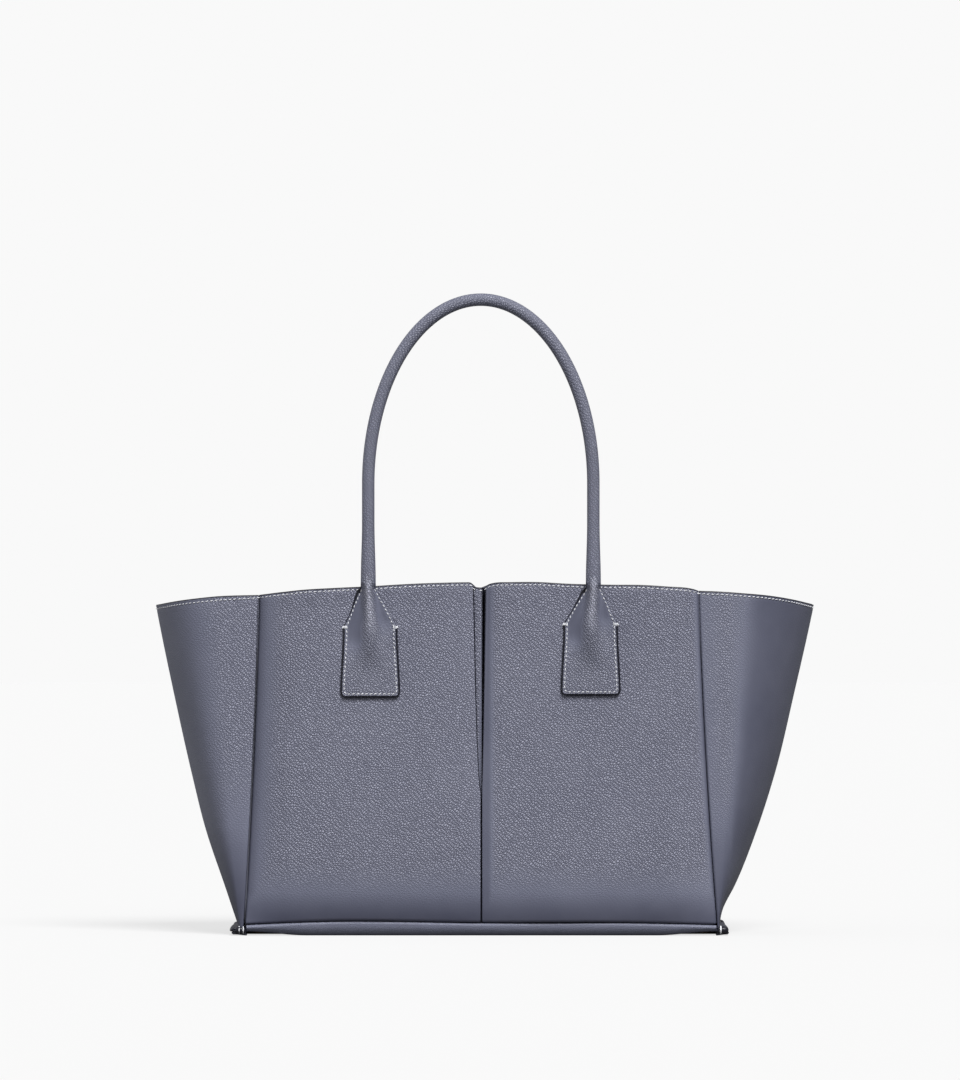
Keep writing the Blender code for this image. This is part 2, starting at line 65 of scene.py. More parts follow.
# Sewn body, measured outside the leather
BASE_DEPTH = 0.150
CREASE_AT_BASE = {LEFT: 0.1785, RIGHT: 0.1774}
CREASE_AT_RIM = {LEFT: 0.1676, RIGHT: 0.1634}
CREASE_DEPTH_AT_RIM = {LEFT: 0.0655, RIGHT: 0.0740}
LOBE_CROWN = {LEFT: 0.0150, RIGHT: 0.0060}
RIM_LEVEL = 0.246
PANEL_RIM_LEVEL = 0.262
PANEL_FOOT_LEVEL = 0.012
WALL_BOW_SHARE = 0.40
FLARE_LEAST_SHARE = 0.0001
FLARE_MOST_SHARE = 1.2
WING_FOLD_SHARE = {LEFT: 1.6, RIGHT: 1.35}
WING_FRONT_SHARE = {LEFT: 3.8, RIGHT: 2.6}
PLEAT_SIDE_DROP_SHARE = 0.22
CREASE_TURN_SHARE = 3.2
BELLY = 0.0060
BELLY_HEIGHT = 0.020
BELLY_CREASE_SHARE = 6
PANEL_WAVE = 0.0007
PANEL_WAVE_SHARES = (5.2, 2.1)
PANEL_SAG = 0.0009
PANEL_SAG_SHARES = (3.3, 0.8)
WING_WAVE = 0.0012
WING_WAVE_SHARES = (2.6, 3.0, 1.3)

# Calm leather: at 1 the grain is pressed flat and the colour turns darker as painted shade, above 1 it
# darkens further as painted shade, and below 0 it turns paler as a painted highlight
CALM_FOOT = 0.060
CALM_FOOT_FADE = 0.050
FOOT_PAINTED_SHADE = 1.75
CREASE_PAINTED_SHADE = 1.42
CALM_CREASE = {LEFT: 0.022, RIGHT: 0.007}
CALM_PLEAT = {LEFT: 0.0085, RIGHT: 0.0120}
CALM_PLEAT_FADE_SHARE = 0.6
PLEAT_PAINTED_SHADE = {LEFT: 0.25, RIGHT: 1.5}
INSERT_PAINTED_SHADOW = 1.15
CALM_WING_FOOT = 0.170
WING_FOOT_PAINTED_SHADE = 1.9
CALM_WING_START_SHARE = {LEFT: 0.26, RIGHT: 0.12}
CALM_WING_FADE_SHARE = {LEFT: 0.42, RIGHT: 0.42}
WING_FOLD_PAINTED_SHADE = {LEFT: 1.0, RIGHT: 1.5}
WING_CREASE_PAINTED_SHADE = {LEFT: 0.0, RIGHT: 1.3}
CALM_WING_CREASE_REACH = 0.0050
CALM_LAYER = 0.4
BASE_CALM_AND_SHADE = 1.0
CALM_FLANGE = 0.6
CALM_TUBE = 0.30
CALM_TUBE_FADE = 0.010
CALM_RIM_FADE = 0.008

# Soft fold of each wing as (height, across)
WING_LINE = {
    LEFT: ((0, 0.1812), (0.015, 0.1872), (0.036, 0.1947), (0.078, 0.2090), (0.120, 0.2193),
           (0.183, 0.2327), (0.246, 0.2451), (0.258, 0.2473)),
    RIGHT: ((0, 0.1794), (0.015, 0.1815), (0.036, 0.1920), (0.078, 0.2085), (0.120, 0.2220),
            (0.183, 0.2377), (0.225, 0.2478), (0.258, 0.2552)),
}

# Rim line and bottom seam as (across, height)
RIM_LINE = (
    (-0.2451, 0.2480), (-0.2329, 0.2505), (-0.2119, 0.2534), (-0.1909, 0.2553), (-0.1690, 0.2557),
    (-0.1520, 0.2577), (-0.1339, 0.2597), (-0.1099, 0.2611), (-0.0850, 0.2623), (-0.0499, 0.2643),
    (-0.0160, 0.2653), (0.0160, 0.2654), (0.0431, 0.2655), (0.0620, 0.2644), (0.0971, 0.2635),
    (0.1211, 0.2633), (0.1390, 0.2622), (0.1579, 0.2605), (0.1639, 0.2589), (0.1736, 0.2587),
    (0.1946, 0.2572), (0.2156, 0.2552), (0.2366, 0.2517), (0.2530, 0.2480),
)
RIM_AT_PLEAT = 0.2653
REAR_RIM_DROP = 0.0009
REAR_RIM_TURN_SHARE = 3
SEAM_LINE = ((-0.1785, 0.0082), (-0.1130, 0.0110), (0.0, 0.0098), (0.1100, 0.0100), (0.1774, 0.0082))

# Layers of the wall
LEATHER = 0.0018
FACING_LEATHER = 0.0012
LINING_CLOTH = 0.0008
LAYER_GAP = 0.0003
SEAM_HALF_GAP = {LEFT: 0.0005, RIGHT: 0.0002}
FACING_HEIGHT = 0.040
FACING_TOP_GAP = 0.0001
FACING_IN = LEATHER + LAYER_GAP
LINING_IN = FACING_IN + FACING_LEATHER + LAYER_GAP

# Creases and pleats
CREASE_ROLL = {LEFT: 0.0015, RIGHT: 0.0019}
CREASE_RETURN = 0.0014
# Rolled columns past this turn at a crease take the edge paint: partly the painted cut edge, partly painted
# shade in the crease
LAP_EDGE_PAINT_AND_SHADE = {LEFT: math.radians(60), RIGHT: math.radians(86)}
CREASE_SHOULDER = 0.018
CREASE_SHOULDER_DROP = {LEFT: 0.0030, RIGHT: 0.0004}
CREASE_SHOULDER_START = 0.030
CROWN_RISE_SHARE = 0.7
WING_LAP = {LEFT: 0.0004, RIGHT: 0.0}
WING_ROLL = {LEFT: 0.0012, RIGHT: 0.0019}
WING_ROLL_MOST_SHARE = 0.35
WING_WALL_MOST_SHARE = 0.45
PLEAT_HALF = {LEFT: 0.0056, RIGHT: 0.0027}
PLEAT_SPREAD_SHARE = {LEFT: 0.5, RIGHT: 0.75}
PLEAT_FOOT_HEIGHT = 0.109
PLEAT_ROLL = {LEFT: 0.0015, RIGHT: 0.0026}
SEAM_ROLL = 0.0010
# Rolled columns short of this turn at a pleat take the edge paint: partly the painted cut edge, partly
# painted shadow in the pleat slot
PLEAT_EDGE_PAINT_AND_SHADOW = {LEFT: math.radians(58), RIGHT: math.radians(42)}
PLEAT_RETURN = {LEFT: 0.0044, RIGHT: 0.0100}
PLEAT_SHOULDER = 0.013
PLEAT_SHOULDER_DROP = {LEFT: 0.0016, RIGHT: 0.0042}
PLEAT_RIM_DROP = 0.0040
PLEAT_RIM_TURN = {LEFT: 0.0042, RIGHT: 0.0130}
INSERT_DROP = 0.0034
INSERT_RIM_LEAN = 0.0010
INSERT_LAP_SHARE = 0.95
INSERT_BULGE = 0.0012
INSERT_SETBACK = 0.0040
INSERT_FALL = 0.0100
INSERT_FALL_START_SHARE = 0.20
INSERT_FALL_SHARE = 0.40
# The right part of the pleat strip takes the edge paint and the darkest colour: a painted shadow in the
# slot
INSERT_PAINTED_SHADOW_SHARE = 0.36
INSERT_SHADE_LEAN_SHARE = 1.05
INSERT_SHADE_FADE_SHARE = 0.25
INSERT_OVERRUN = 0.006
LINING_RETURN = 0.0155
LINING_BYPASS = 0.012
BACKING_MARGIN = 0.0020
BACKING_IN = LEATHER + 0.0001
BACKING_BOARD = 0.0008

# Bottom
SEAM_CLEARANCE = 0.0002
STRIP_SEAM_DROP = 0.0004
STRIP_BULGE = 0.0010
STRIP_EDGE_RADIUS = 0.0085
STRIP_TOP_RADIUS = 0.0018
STRIP_UNDER = 0.030
STRIP_END_IN = 0.0022
STRIP_END_LIFT = 0.0030
STRIP_END_LENGTH = 0.045
BASE_LEATHER = 0.0020
FLANGE_REACH = 0.0066
FLANGE_BEND = 0.0015
FLANGE_FOOT = 0.0024
FLANGE_CURL = 0.0012
FLANGE_CURL_START = 0.050
FLANGE_CURL_LENGTH = 0.020
WING_CURL_REACH = 0.006
BASE_CURL_REACH = 0.008
BASE_FLANGE_IN = 0.0021
BASE_FLANGE_SETBACK = 0.0002
BASE_FLANGE_FOOT = 0.0001
BASE_FLANGE_END_IN = 0.0012
WING_FOOT = FLANGE_FOOT + LEATHER + FLANGE_BEND
FLOOR_LINING_TOP = 0.0054
FLOOR_PUFF = 0.0006
HEM_ROLL = 0.0018
EAR_CENTRE = (0.1808, 0.0722, 0.0043)
EAR_HALF = (0.0047, 0.0044, 0.0027)
EAR_SQUARE_SHARE = 0.8
EAR_BIND_SHARE = 0.93
EAR_THREADS = {LEFT: ((0.1788, 0.00042), (0.1818, 0.00046)), RIGHT: ((0.1796, 0.00068),)}

# Handles
HANDLE_RIM_HEIGHT = 0.26234
PIVOT_HEIGHT = 0.26634
PIVOT_DEPTH = 0.08516
SPRING_HEIGHT = 0.3399
ARCH_HALF_SPAN = 0.0844
ARCH_RISE = 0.1373
ARCH_SHIFT = -0.0005
TUBE_RADIUS = 0.00464
TUBE_FOOT_RADIUS = 0.0056
TUBE_FOOT_TOP = 0.310
TUBE_FOOT_REACH = 0.045
REAR_ARCH_LIFT = 0.0036
REAR_ARCH_SPREAD = 0.0016

# Tabs: the foot and shoulder heights differ between the hands, the widths are shared
TAB_CENTRE = {LEFT: -0.0834, RIGHT: 0.0819}
TAB_FOOT = {LEFT: 0.1787, RIGHT: 0.1802}
TAB_SHOULDER = {LEFT: 0.2315, RIGHT: 0.2338}
TAB_FOOT_HALF = 0.0226
TAB_SHOULDER_HALF = 0.0205
TAB_REACH = 0.030
NECK_HALF = 0.0058
NECK_TOP = 0.2600
NECK_SWING_END = PIVOT_HEIGHT - 0.004
NECK_END = PIVOT_HEIGHT - 0.001
TAB_CORNER = 0.0046
TAB_THICKNESS = 0.0026
TAB_EDGE_ROUND = 0.0016
PAINTED_EDGE = 0.0016
PAINT_TOLERANCE = 0.00001
NECK_PAINT = {LEFT: 0.0009, RIGHT: 0.0002}
EDGE_COLUMNS = np.array([0.0, 0.00005, 0.0002, 0.0005, 0.0009, 0.0013, 0.0016])
EDGE_MOST_SHARE = 0.3
EDGE_INNER_SHARE = 0.3
RIDGE_TOP = 0.0086
RIDGE_SHOULDER = 0.0076
RIDGE_TOP_HALF = 0.0058
RIDGE_SHOULDER_HALF = 0.0090
RIDGE_FADE = 0.036
RIDGE_FOOT_SPREAD = 0.006
RIDGE_EDGE_FADE = 0.0030
RIDGE_ROUND_SHARE = 1.5
TUBE_BLEND_START = 0.2590
TUBE_BLEND_END = 0.2656
# Painted highlight along the crest of each neck's ridge
CREST_HALF = 0.0052
CREST_PAINTED_HIGHLIGHT = 0.80
CREST_START = 0.010
CREST_FADE = 0.022
# Flat strip beside the left edge of each upper neck, painted dark as a painted shadow
NECK_SHADOW_FLAP = 0.0024
NECK_SHADOW_FLAP_FOOT = 0.2440
NECK_SHADOW_FLAP_CLOSE = 0.0030
DIMPLE_DEPTH = 0.0010
DIMPLE_AT_SHARE = 0.68
DIMPLE_HALF = 0.004
# Painted shade in the hollows beside each neck's ridge
HOLLOW_PLACE = {LEFT: -0.0124, RIGHT: 0.0116}
HOLLOW_HALF = {LEFT: 0.0058, RIGHT: 0.0044}
HOLLOW_PAINTED_SHADE = {LEFT: 1.6, RIGHT: 1.5}
HOLLOW_REACH = {LEFT: 0.028, RIGHT: 0.014}
HOLLOW_FADE = 0.024
HOLLOW_NARROW_SHARE = 0.5
HOLLOW_FULL_SHARE = 1.6
CORD_RADIUS = 0.0032
CORD_END_SHARE = 0.6

# Stitches
STITCH_PITCH = 0.0035
STITCH_LENGTH = 0.0025
STITCH_WIDTH = 0.00070
STITCH_SLANT_DEG = 12
STITCH_RAISE_SHARE = 0.22
RIM_STITCH_DROP = 0.0022
WING_STITCH_DROP = 0.0009
WING_STITCH_TURN = 0.012
GROOVE_DEPTH = 0.00030
GROOVE_HALF = 0.0011
TAB_STITCH_PITCH = 0.0033
TAB_STITCH_LENGTH = 0.0022
TAB_STITCH_IN = 0.0029
TAB_STITCH_RAISE_SHARE = 0.38
TAB_ROW_TURN = 0.0020
TAB_ROW_PROBE = 0.0030
TAB_ROW_CORNER = 0.0015
TAB_GROOVE_DEPTH = 0.00028
TAB_GROOVE_HALF = 0.0009
NECK_STITCH_IN = 0.0013
NECK_STITCH_SHARE = 1.4
INSERT_ROW_SHARES = (-0.75, 0.15)
TACK_PITCH = 0.0011
TACK_LENGTH = 0.0026
TACK_WIDTH = 0.0008
TACK_SLANT_DEG = 90
TACK_PLACES = (0.0030, 0.0016, 0.0002)
TACK_RAISE = 0.0002

# Steps of the meshes
FACE_STEPS = 64
ROLL_STEPS = 8
RETURN_STEPS = 3
ROW_END_STEPS = RETURN_STEPS + 3
INSERT_STEPS = 32
WING_STEPS = 72
WALL_STEPS = 96
WALL_GATHER_SHARE = 0.75
WING_GATHER_SHARE = 0.5
HEM_STEPS = 5
EDGE_STEPS = 6
LAYER_WALL_STEPS = 24
FACING_WALL_STEPS = 12
LAYER_STEPS = 90
WING_LAYER_STEPS = 45
BACKING_STEPS = 12
BACKING_WALL_STEPS = 10
FLOOR_STEPS = (48, 24)
BASE_STEPS = 120
STRIP_TOP_STEPS = 5
STRIP_EDGE_STEPS = 12
FLANGE_STEPS = 40
FLANGE_EDGE_STEPS = 7
EAR_STEPS = (16, 32)
EAR_THREAD_STEPS = (48, 10)
TUBE_SIDES = 56
ARCH_STEPS = 150
LEG_STEPS = 26
NECK_STEPS = 44
TAB_STEPS = 40
CORNER_STEPS = 8
TAB_ROW_STEPS = (39, 23)
INSERT_ROW_STEPS = 11
SLOPE_STEP = 0.0004
LEAST_LENGTH = 1e-9
BEAD_STEPS = (10, 6)
SHARP_EDGE = math.radians(50)


# Curves that the shapes follow

def ease(share):
    share = np.clip(share, 0, 1)
    return share * share * (3 - 2 * share)


def smooth_line(points, at):
    """Height of a smooth line through a few points."""
    across = np.array([point[0] for point in points])
    high = np.array([point[1] for point in points])
    slope = np.gradient(high, across)
    at = np.clip(at, across[0], across[-1])
    first = np.clip(np.searchsorted(across, at) - 1, 0, len(across) - 2)
    span = across[first + 1] - across[first]
    t = (at - across[first]) / span
    near = (1 + 2 * t) * (1 - t) ** 2 * high[first] + t * (1 - t) ** 2 * span * slope[first]
    far = t * t * (3 - 2 * t) * high[first + 1] - t * t * (1 - t) * span * slope[first + 1]
    return near + far


def flare(z):
    level = np.clip(z / RIM_LEVEL, 0, FLARE_MOST_SHARE)
    return (1 + WALL_BOW_SHARE) * level - WALL_BOW_SHARE * level * level


def crease_x(z, hand):
    return CREASE_AT_BASE[hand] + (CREASE_AT_RIM[hand] - CREASE_AT_BASE[hand]) * flare(z)


def crease_depth(z, hand):
    return BASE_DEPTH / 2 + (CREASE_DEPTH_AT_RIM[hand] - BASE_DEPTH / 2) * flare(z)


def wing_x(z, hand):
    return smooth_line(WING_LINE[hand], z)


def wing_out(back, hand):
    """How far out a wing stands, from its creases at -1 and 1 to its soft fold at 0."""
    return (1 - np.abs(back) ** WING_FOLD_SHARE[hand]) ** (1 / WING_FRONT_SHARE[hand])


def pleat_climb(z):
    return np.clip((z - PLEAT_FOOT_HEIGHT) / (RIM_AT_PLEAT - PLEAT_FOOT_HEIGHT), 0, 1)


def pleat_half_gap(z, hand):
    closed = SEAM_HALF_GAP[RIGHT]
    return closed + (PLEAT_HALF[hand] - closed) * pleat_climb(z) ** PLEAT_SPREAD_SHARE[hand]


def pleat_roll(z, hand):
    return SEAM_ROLL + (PLEAT_ROLL[hand] - SEAM_ROLL) * pleat_climb(z)


def face_depth(x, z, hand):
    """Distance of the leather's outside from the middle plane, before its edges turn in."""
    start = pleat_half_gap(z, hand) + pleat_roll(z, hand)
    along = np.clip((np.abs(x) - start) / (crease_x(z, hand) - start), 0, 1)
    swing = 2 * along - 1
    lobe = np.where(
        swing < 0,
        1 - PLEAT_SIDE_DROP_SHARE * swing ** 2,
        1 - np.abs(swing) ** CREASE_TURN_SHARE)
    beside = np.clip((np.abs(x) - start) / PLEAT_SHOULDER, 0, 1)
    turned = PLEAT_SHOULDER_DROP[hand] * pleat_climb(z) * (1 - beside) ** 2
    beside = np.clip((crease_x(z, hand) - np.abs(x)) / CREASE_SHOULDER, 0, 1)
    risen = np.clip(z / CREASE_SHOULDER_START, 0, 1)
    turned = turned + CREASE_SHOULDER_DROP[hand] * risen * (1 - beside) ** 2
    swell = belly(z) * np.clip((1 - along) * BELLY_CREASE_SHARE, 0, 1)
    crown = LOBE_CROWN[hand] * np.maximum(flare(z), FLARE_LEAST_SHARE) ** CROWN_RISE_SHARE * lobe
    return crease_depth(z, hand) + crown - turned + swell


def belly(z):
    """Walls of soft leather fill out just above the seam of the base."""
    rise = 1 - np.exp(-np.maximum(z - SEAM_LINE[0][1], 0) / BELLY_HEIGHT)
    return BELLY * rise * np.clip(1 - z / RIM_LEVEL, 0, 1)


def rim_height(x, back=FRONT):
    """Height of the rim. back runs from -1 at the front wall to 1 at the rear wall."""
    reach = np.where(x < 0, PLEAT_RIM_TURN[LEFT], PLEAT_RIM_TURN[RIGHT])
    start = np.where(x < 0, PLEAT_HALF[LEFT], PLEAT_HALF[RIGHT])
    beside = np.clip((np.abs(x) - start) / reach, 0, 1)
    dip = PLEAT_RIM_DROP * (1 - np.sqrt(1 - (1 - beside) ** 2))
    return smooth_line(RIM_LINE, x) - dip - REAR_RIM_DROP * ease(np.asarray(back) * REAR_RIM_TURN_SHARE)


def stitch_drop(x):
    """How far the row lies under the rim: further down on the left wing."""
    return RIM_STITCH_DROP + WING_STITCH_DROP * ease((-x - CREASE_AT_RIM[LEFT]) / WING_STITCH_TURN)


def seam_height(x):
    return smooth_line(SEAM_LINE, x)


# Meshes

def mesh_piece(name, points, faces, materials, face_slots=None, attributes=None):
    """One closed mesh with its faces pointing out, shaded smoothly."""
    mesh = bpy.data.meshes.new(name)
    mesh.from_pydata([tuple(point) for point in points], [], faces)
    for material in materials:
        mesh.materials.append(material)
    if face_slots is not None:
        mesh.polygons.foreach_set("material_index", np.array(face_slots, dtype=np.int32))
    for key, values in (attributes or {}).items():
        values = np.array(values, dtype=np.float32)
        kind, field = ("FLOAT", "value") if values.ndim == 1 else ("FLOAT_VECTOR", "vector")
        mesh.attributes.new(key, kind, "POINT").data.foreach_set(field, values.ravel())
    shape = bmesh.new()
    shape.from_mesh(mesh)
    bmesh.ops.recalc_face_normals(shape, faces=shape.faces)
    shape.to_mesh(mesh)
    shape.free()
    mesh.shade_smooth()
    mesh.set_sharp_from_angle(angle=SHARP_EDGE)
    piece = bpy.data.objects.new(name, mesh)
    bpy.context.scene.collection.objects.link(piece)
    return piece


def side_quads(rings, count, closed=False):
    """Quads between neighbouring rings of equal count, joined end to end where closed."""
    faces = []
    for row in range(rings if closed else rings - 1):
        low = row * count
        high = (row + 1) % rings * count
        for step in range(count):
            following = (step + 1) % count
            faces.append((low + step, low + following, high + following, high + step))
    return faces


def tube_faces(rings, count):
    """Quads between rings of equal count, with a cap on both ends."""
    last = (rings - 1) * count
    caps = [tuple(reversed(range(count))), tuple(range(last, last + count))]
    return side_quads(rings, count) + caps


def loop_sheet(name, grid, turns, materials, paint_turn=(), attributes=None, paint_columns=()):
    """Closed sheet. grid holds rings of points by column; turns says where a ring folds back."""
    columns, ring = grid.shape[:2]
    faces = side_quads(columns, ring)
    slots = [int(step in paint_turn or column in paint_columns)
             for column in range(columns - 1) for step in range(ring)]
    outer, inner = turns
    for low, flip in ((0, 1), ((columns - 1) * ring, -1)):
        for step in range(outer - 1):
            quad = (low + step, low + step + 1, low + inner - step - 1, low + inner - step)
            faces.append(quad[::flip])
        top = [low + step for step in range(outer - 1, inner - outer + 2)]
        foot = [low + step for step in range(inner, ring)] + [low]
        faces += [tuple(cap[::flip]) for cap in (top, foot) if len(cap) > 2]
    slots += [0] * (len(faces) - len(slots))
    attributes = {"hide": hide_places(grid), **(attributes or {})}
    return mesh_piece(name, grid.reshape(-1, 3), faces, materials, slots, attributes)


def hide_places(grid):
    """Flat places on the hide a piece was cut from: length across its columns, and height."""
    lengths = np.linalg.norm(np.diff(grid, axis=0), axis=-1)
    across = np.concatenate([0 * lengths[:1], np.cumsum(lengths, axis=0)])
    rightwards = np.sign(grid[len(grid) // 2, 0, 0] - grid[0, 0, 0])
    return np.stack([rightwards * across, grid[..., 2], 0 * across], axis=-1).reshape(-1, 3)


def wound_places(grid):
    """Flat places of a piece whose rings are wound round it: across its columns, and round a ring."""
    lengths = np.linalg.norm(np.diff(grid, axis=1), axis=-1)
    around = np.concatenate([0 * lengths[:, :1], np.cumsum(lengths, axis=1)], axis=1)
    return np.stack([grid[..., 0], around, 0 * around], axis=-1).reshape(-1, 3)


def sheet_ring(low, high, thickness, steps, hem=0.0):
    """Heights and insets round the section of a wall sheet, for every column.

    Up the outside from the hem, over the painted edge at the rim and down the inside.
    """
    low = np.asarray(low)[:, None]
    high = np.asarray(high)[:, None]
    turn = np.linspace(math.pi / 2, 0, HEM_STEPS)[None, :-1]
    hem_z = low + hem * (1 - np.sin(turn))
    hem_in = hem * (1 - np.cos(turn)) + 0 * low
    share = gathered_shares(steps)[None, :]
    edge = thickness / 2
    outer_z = low + hem + (high - edge - low - hem) * share
    arc = np.linspace(0, math.pi, EDGE_STEPS + 2)[None, 1:-1]
    arc_z = high - edge + edge * np.sin(arc)
    arc_in = edge * (1 - np.cos(arc)) + 0 * high
    outer = hem_z.shape[1] + outer_z.shape[1] if hem else outer_z.shape[1]
    heights = [hem_z, outer_z] if hem else [outer_z]
    insets = [hem_in, 0 * outer_z] if hem else [0 * outer_z]
    inner_z = np.concatenate(heights, axis=1)[:, ::-1]
    heights += [arc_z, inner_z]
    insets += [arc_in, 0 * inner_z + thickness]
    turns = (outer, 2 * outer + EDGE_STEPS - 1)
    paint = set(range(outer - 1, outer + EDGE_STEPS))
    return np.concatenate(heights, axis=1), np.concatenate(insets, axis=1), turns, paint


def gathered(steps, share):
    """Places from -1 to 1, closer together near both ends."""
    even = np.linspace(-1, 1, steps + 1)
    return np.sin(math.pi / 2 * even) * share + even * (1 - share)


def gathered_shares(steps):
    """Shares from 0 to 1, closer together near both ends."""
    return (gathered(steps, WALL_GATHER_SHARE) + 1) / 2


# Leather of the walls

class PanelStations:
    """Columns of a panel from its pleat return over the face to its crease return."""

    def __init__(self):
        turn = np.linspace(0, math.pi / 2, ROLL_STEPS + 1)
        face = gathered_shares(FACE_STEPS)
        ends = ROLL_STEPS + RETURN_STEPS
        self.pleat_return = np.concatenate([np.linspace(1, 0, RETURN_STEPS + 1)[:-1],
                                            np.zeros(ROLL_STEPS + FACE_STEPS + 1 + ends)])
        self.pleat_turn = np.concatenate([np.zeros(RETURN_STEPS), turn[:-1],
                                          np.full(FACE_STEPS + 1 + ends, math.pi / 2)])
        self.face = np.concatenate([np.zeros(ends), face, np.ones(ends)])
        self.crease_turn = np.concatenate([np.zeros(ends + FACE_STEPS + 1), turn[1:],
                                           np.full(RETURN_STEPS, math.pi / 2)])
        self.crease_return = np.concatenate([np.zeros(ends + FACE_STEPS + 1 + ROLL_STEPS),
                                             np.linspace(0, 1, RETURN_STEPS + 1)[1:]])


def panel_place(stations, z, inset, hand):
    """Across and depth of a panel's points; z and inset are given by column and ring step."""
    turn = stations.pleat_turn[:, None]
    bend = stations.crease_turn[:, None]
    gap = pleat_half_gap(z, hand)
    roll = pleat_roll(z, hand)
    crease_roll = CREASE_ROLL[hand]
    far = crease_x(z, hand) - SEAM_HALF_GAP[hand]
    span = far - crease_roll - gap - roll
    inner_roll = np.maximum(roll - inset, 0)
    inner_crease = np.maximum(crease_roll - inset, 0)
    x = gap + roll - inner_roll * np.cos(turn)
    x = np.where(turn >= math.pi / 2, gap + roll, x)
    x = x + span * stations.face[:, None] + inner_crease * np.sin(bend)
    reference = gap + roll + span * stations.face[:, None] + crease_roll * np.sin(bend)
    depth = face_depth(reference, z, hand)
    depth = depth - (roll - inner_roll * np.sin(turn)) - (crease_roll - inner_crease * np.cos(bend))
    depth = depth + np.minimum(inset, crease_roll)
    depth = depth - PLEAT_RETURN[hand] * stations.pleat_return[:, None]
    depth = depth - CREASE_RETURN * stations.crease_return[:, None]
    depth = depth - np.maximum(inset - roll, 0) - np.maximum(inset - crease_roll, 0)
    return x, depth


def panel_swell(x, z, hand):
    """Soft unevenness of a hand-made panel."""
    along = x / crease_x(z, hand)
    level = z / RIM_LEVEL
    between = np.sin(math.pi * np.clip(along, 0, 1))
    across_share, up_share = PANEL_WAVE_SHARES
    wave = PANEL_WAVE * np.sin(across_share * along + up_share * level + hand) * between
    up_share, hand_share = PANEL_SAG_SHARES
    sag = PANEL_SAG * np.sin(up_share * level + hand_share * hand) * between
    return wave + sag * np.clip(1 - level, 0, 1) * 2


def panel_skin(x, z, hand):
    """Distance of a panel's outside from the middle plane, with its unevenness."""
    return face_depth(x, z, hand) + panel_swell(x, z, hand)


def stitch_groove(z, rim, drop=RIM_STITCH_DROP):
    """The thread draws the leather in along its row."""
    return GROOVE_DEPTH * np.exp(-((rim - drop - z) / GROOVE_HALF) ** 2)


def panel_rim(stations, side, hand):
    """Height of the rim over each column of a panel."""
    level = np.full((len(stations.face), 1), PANEL_RIM_LEVEL)
    x, _ = panel_place(stations, level, 0 * level, hand)
    return rim_height(hand * x[:, 0], side)


def panel_calm_and_shade(x, z, hand):
    """Calm leather with painted shade beside a panel's crease, beside its pleat and along its foot:
    flattened grain, and colour darkened where these places turn from the light.
    """
    beside = crease_x(z, hand) - x
    calm = CREASE_PAINTED_SHADE * ease((CALM_CREASE[hand] - beside) / CALM_CREASE[hand])
    near_pleat = ease((CALM_PLEAT[hand] - x) / (CALM_PLEAT[hand] * CALM_PLEAT_FADE_SHARE))
    calm = np.maximum(calm, PLEAT_PAINTED_SHADE[hand] * near_pleat)
    return np.maximum(calm, FOOT_PAINTED_SHADE * ease((CALM_FOOT - z) / CALM_FOOT_FADE))


def make_panels(leather, edge_paint):
    stations = PanelStations()
    for corner, (side, hand) in CORNERS.items():
        level = np.full((len(stations.face), 1), PANEL_FOOT_LEVEL)
        x_foot, _ = panel_place(stations, level, 0 * level, hand)
        low = seam_height(hand * x_foot[:, 0]) + SEAM_CLEARANCE
        high = panel_rim(stations, side, hand)
        z, inset, turns, paint = sheet_ring(low, high, LEATHER, WALL_STEPS, HEM_ROLL)
        x, depth = panel_place(stations, z, inset, hand)
        depth = depth + panel_swell(x, z, hand) - stitch_groove(z, high[:, None])
        grid = np.stack([hand * x, side * depth, z], axis=-1)
        # Rolled columns at the crease and the pleat take the edge paint: partly the painted cut edge,
        # partly painted shade in the crease and painted shadow in the pleat slot
        lapped = stations.crease_turn > LAP_EDGE_PAINT_AND_SHADE[hand]
        lapped = lapped | (stations.pleat_turn < PLEAT_EDGE_PAINT_AND_SHADOW[hand])
        piece = loop_sheet(f"{corner}_panel_leather", grid, turns, [leather, edge_paint], paint,
                           {"calm": panel_calm_and_shade(x, z, hand).ravel()}, np.flatnonzero(lapped))
        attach(piece, "root")
        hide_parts(f"{corner}_panel")


def insert_rim(across, side):
    lean = INSERT_RIM_LEAN * (across + 1) / 2
    return RIM_AT_PLEAT - INSERT_DROP - lean - REAR_RIM_DROP * (side == REAR)


def insert_place(across, z):
    """Across and depth of the strip in the pleat, from its left edge at -1 to its right edge at 1."""
    start = -pleat_half_gap(z, LEFT) - LEATHER * INSERT_LAP_SHARE
    end = pleat_half_gap(z, RIGHT) + LEATHER * INSERT_LAP_SHARE
    fall = ease((across - INSERT_FALL_START_SHARE) / INSERT_FALL_SHARE)
    bulge = INSERT_BULGE * np.cos(across * math.pi / 2) - INSERT_FALL * fall
    depth = face_depth(0 * z, z, RIGHT) - INSERT_SETBACK + bulge * pleat_climb(z)
    return start + (end - start) * (across + 1) / 2, depth


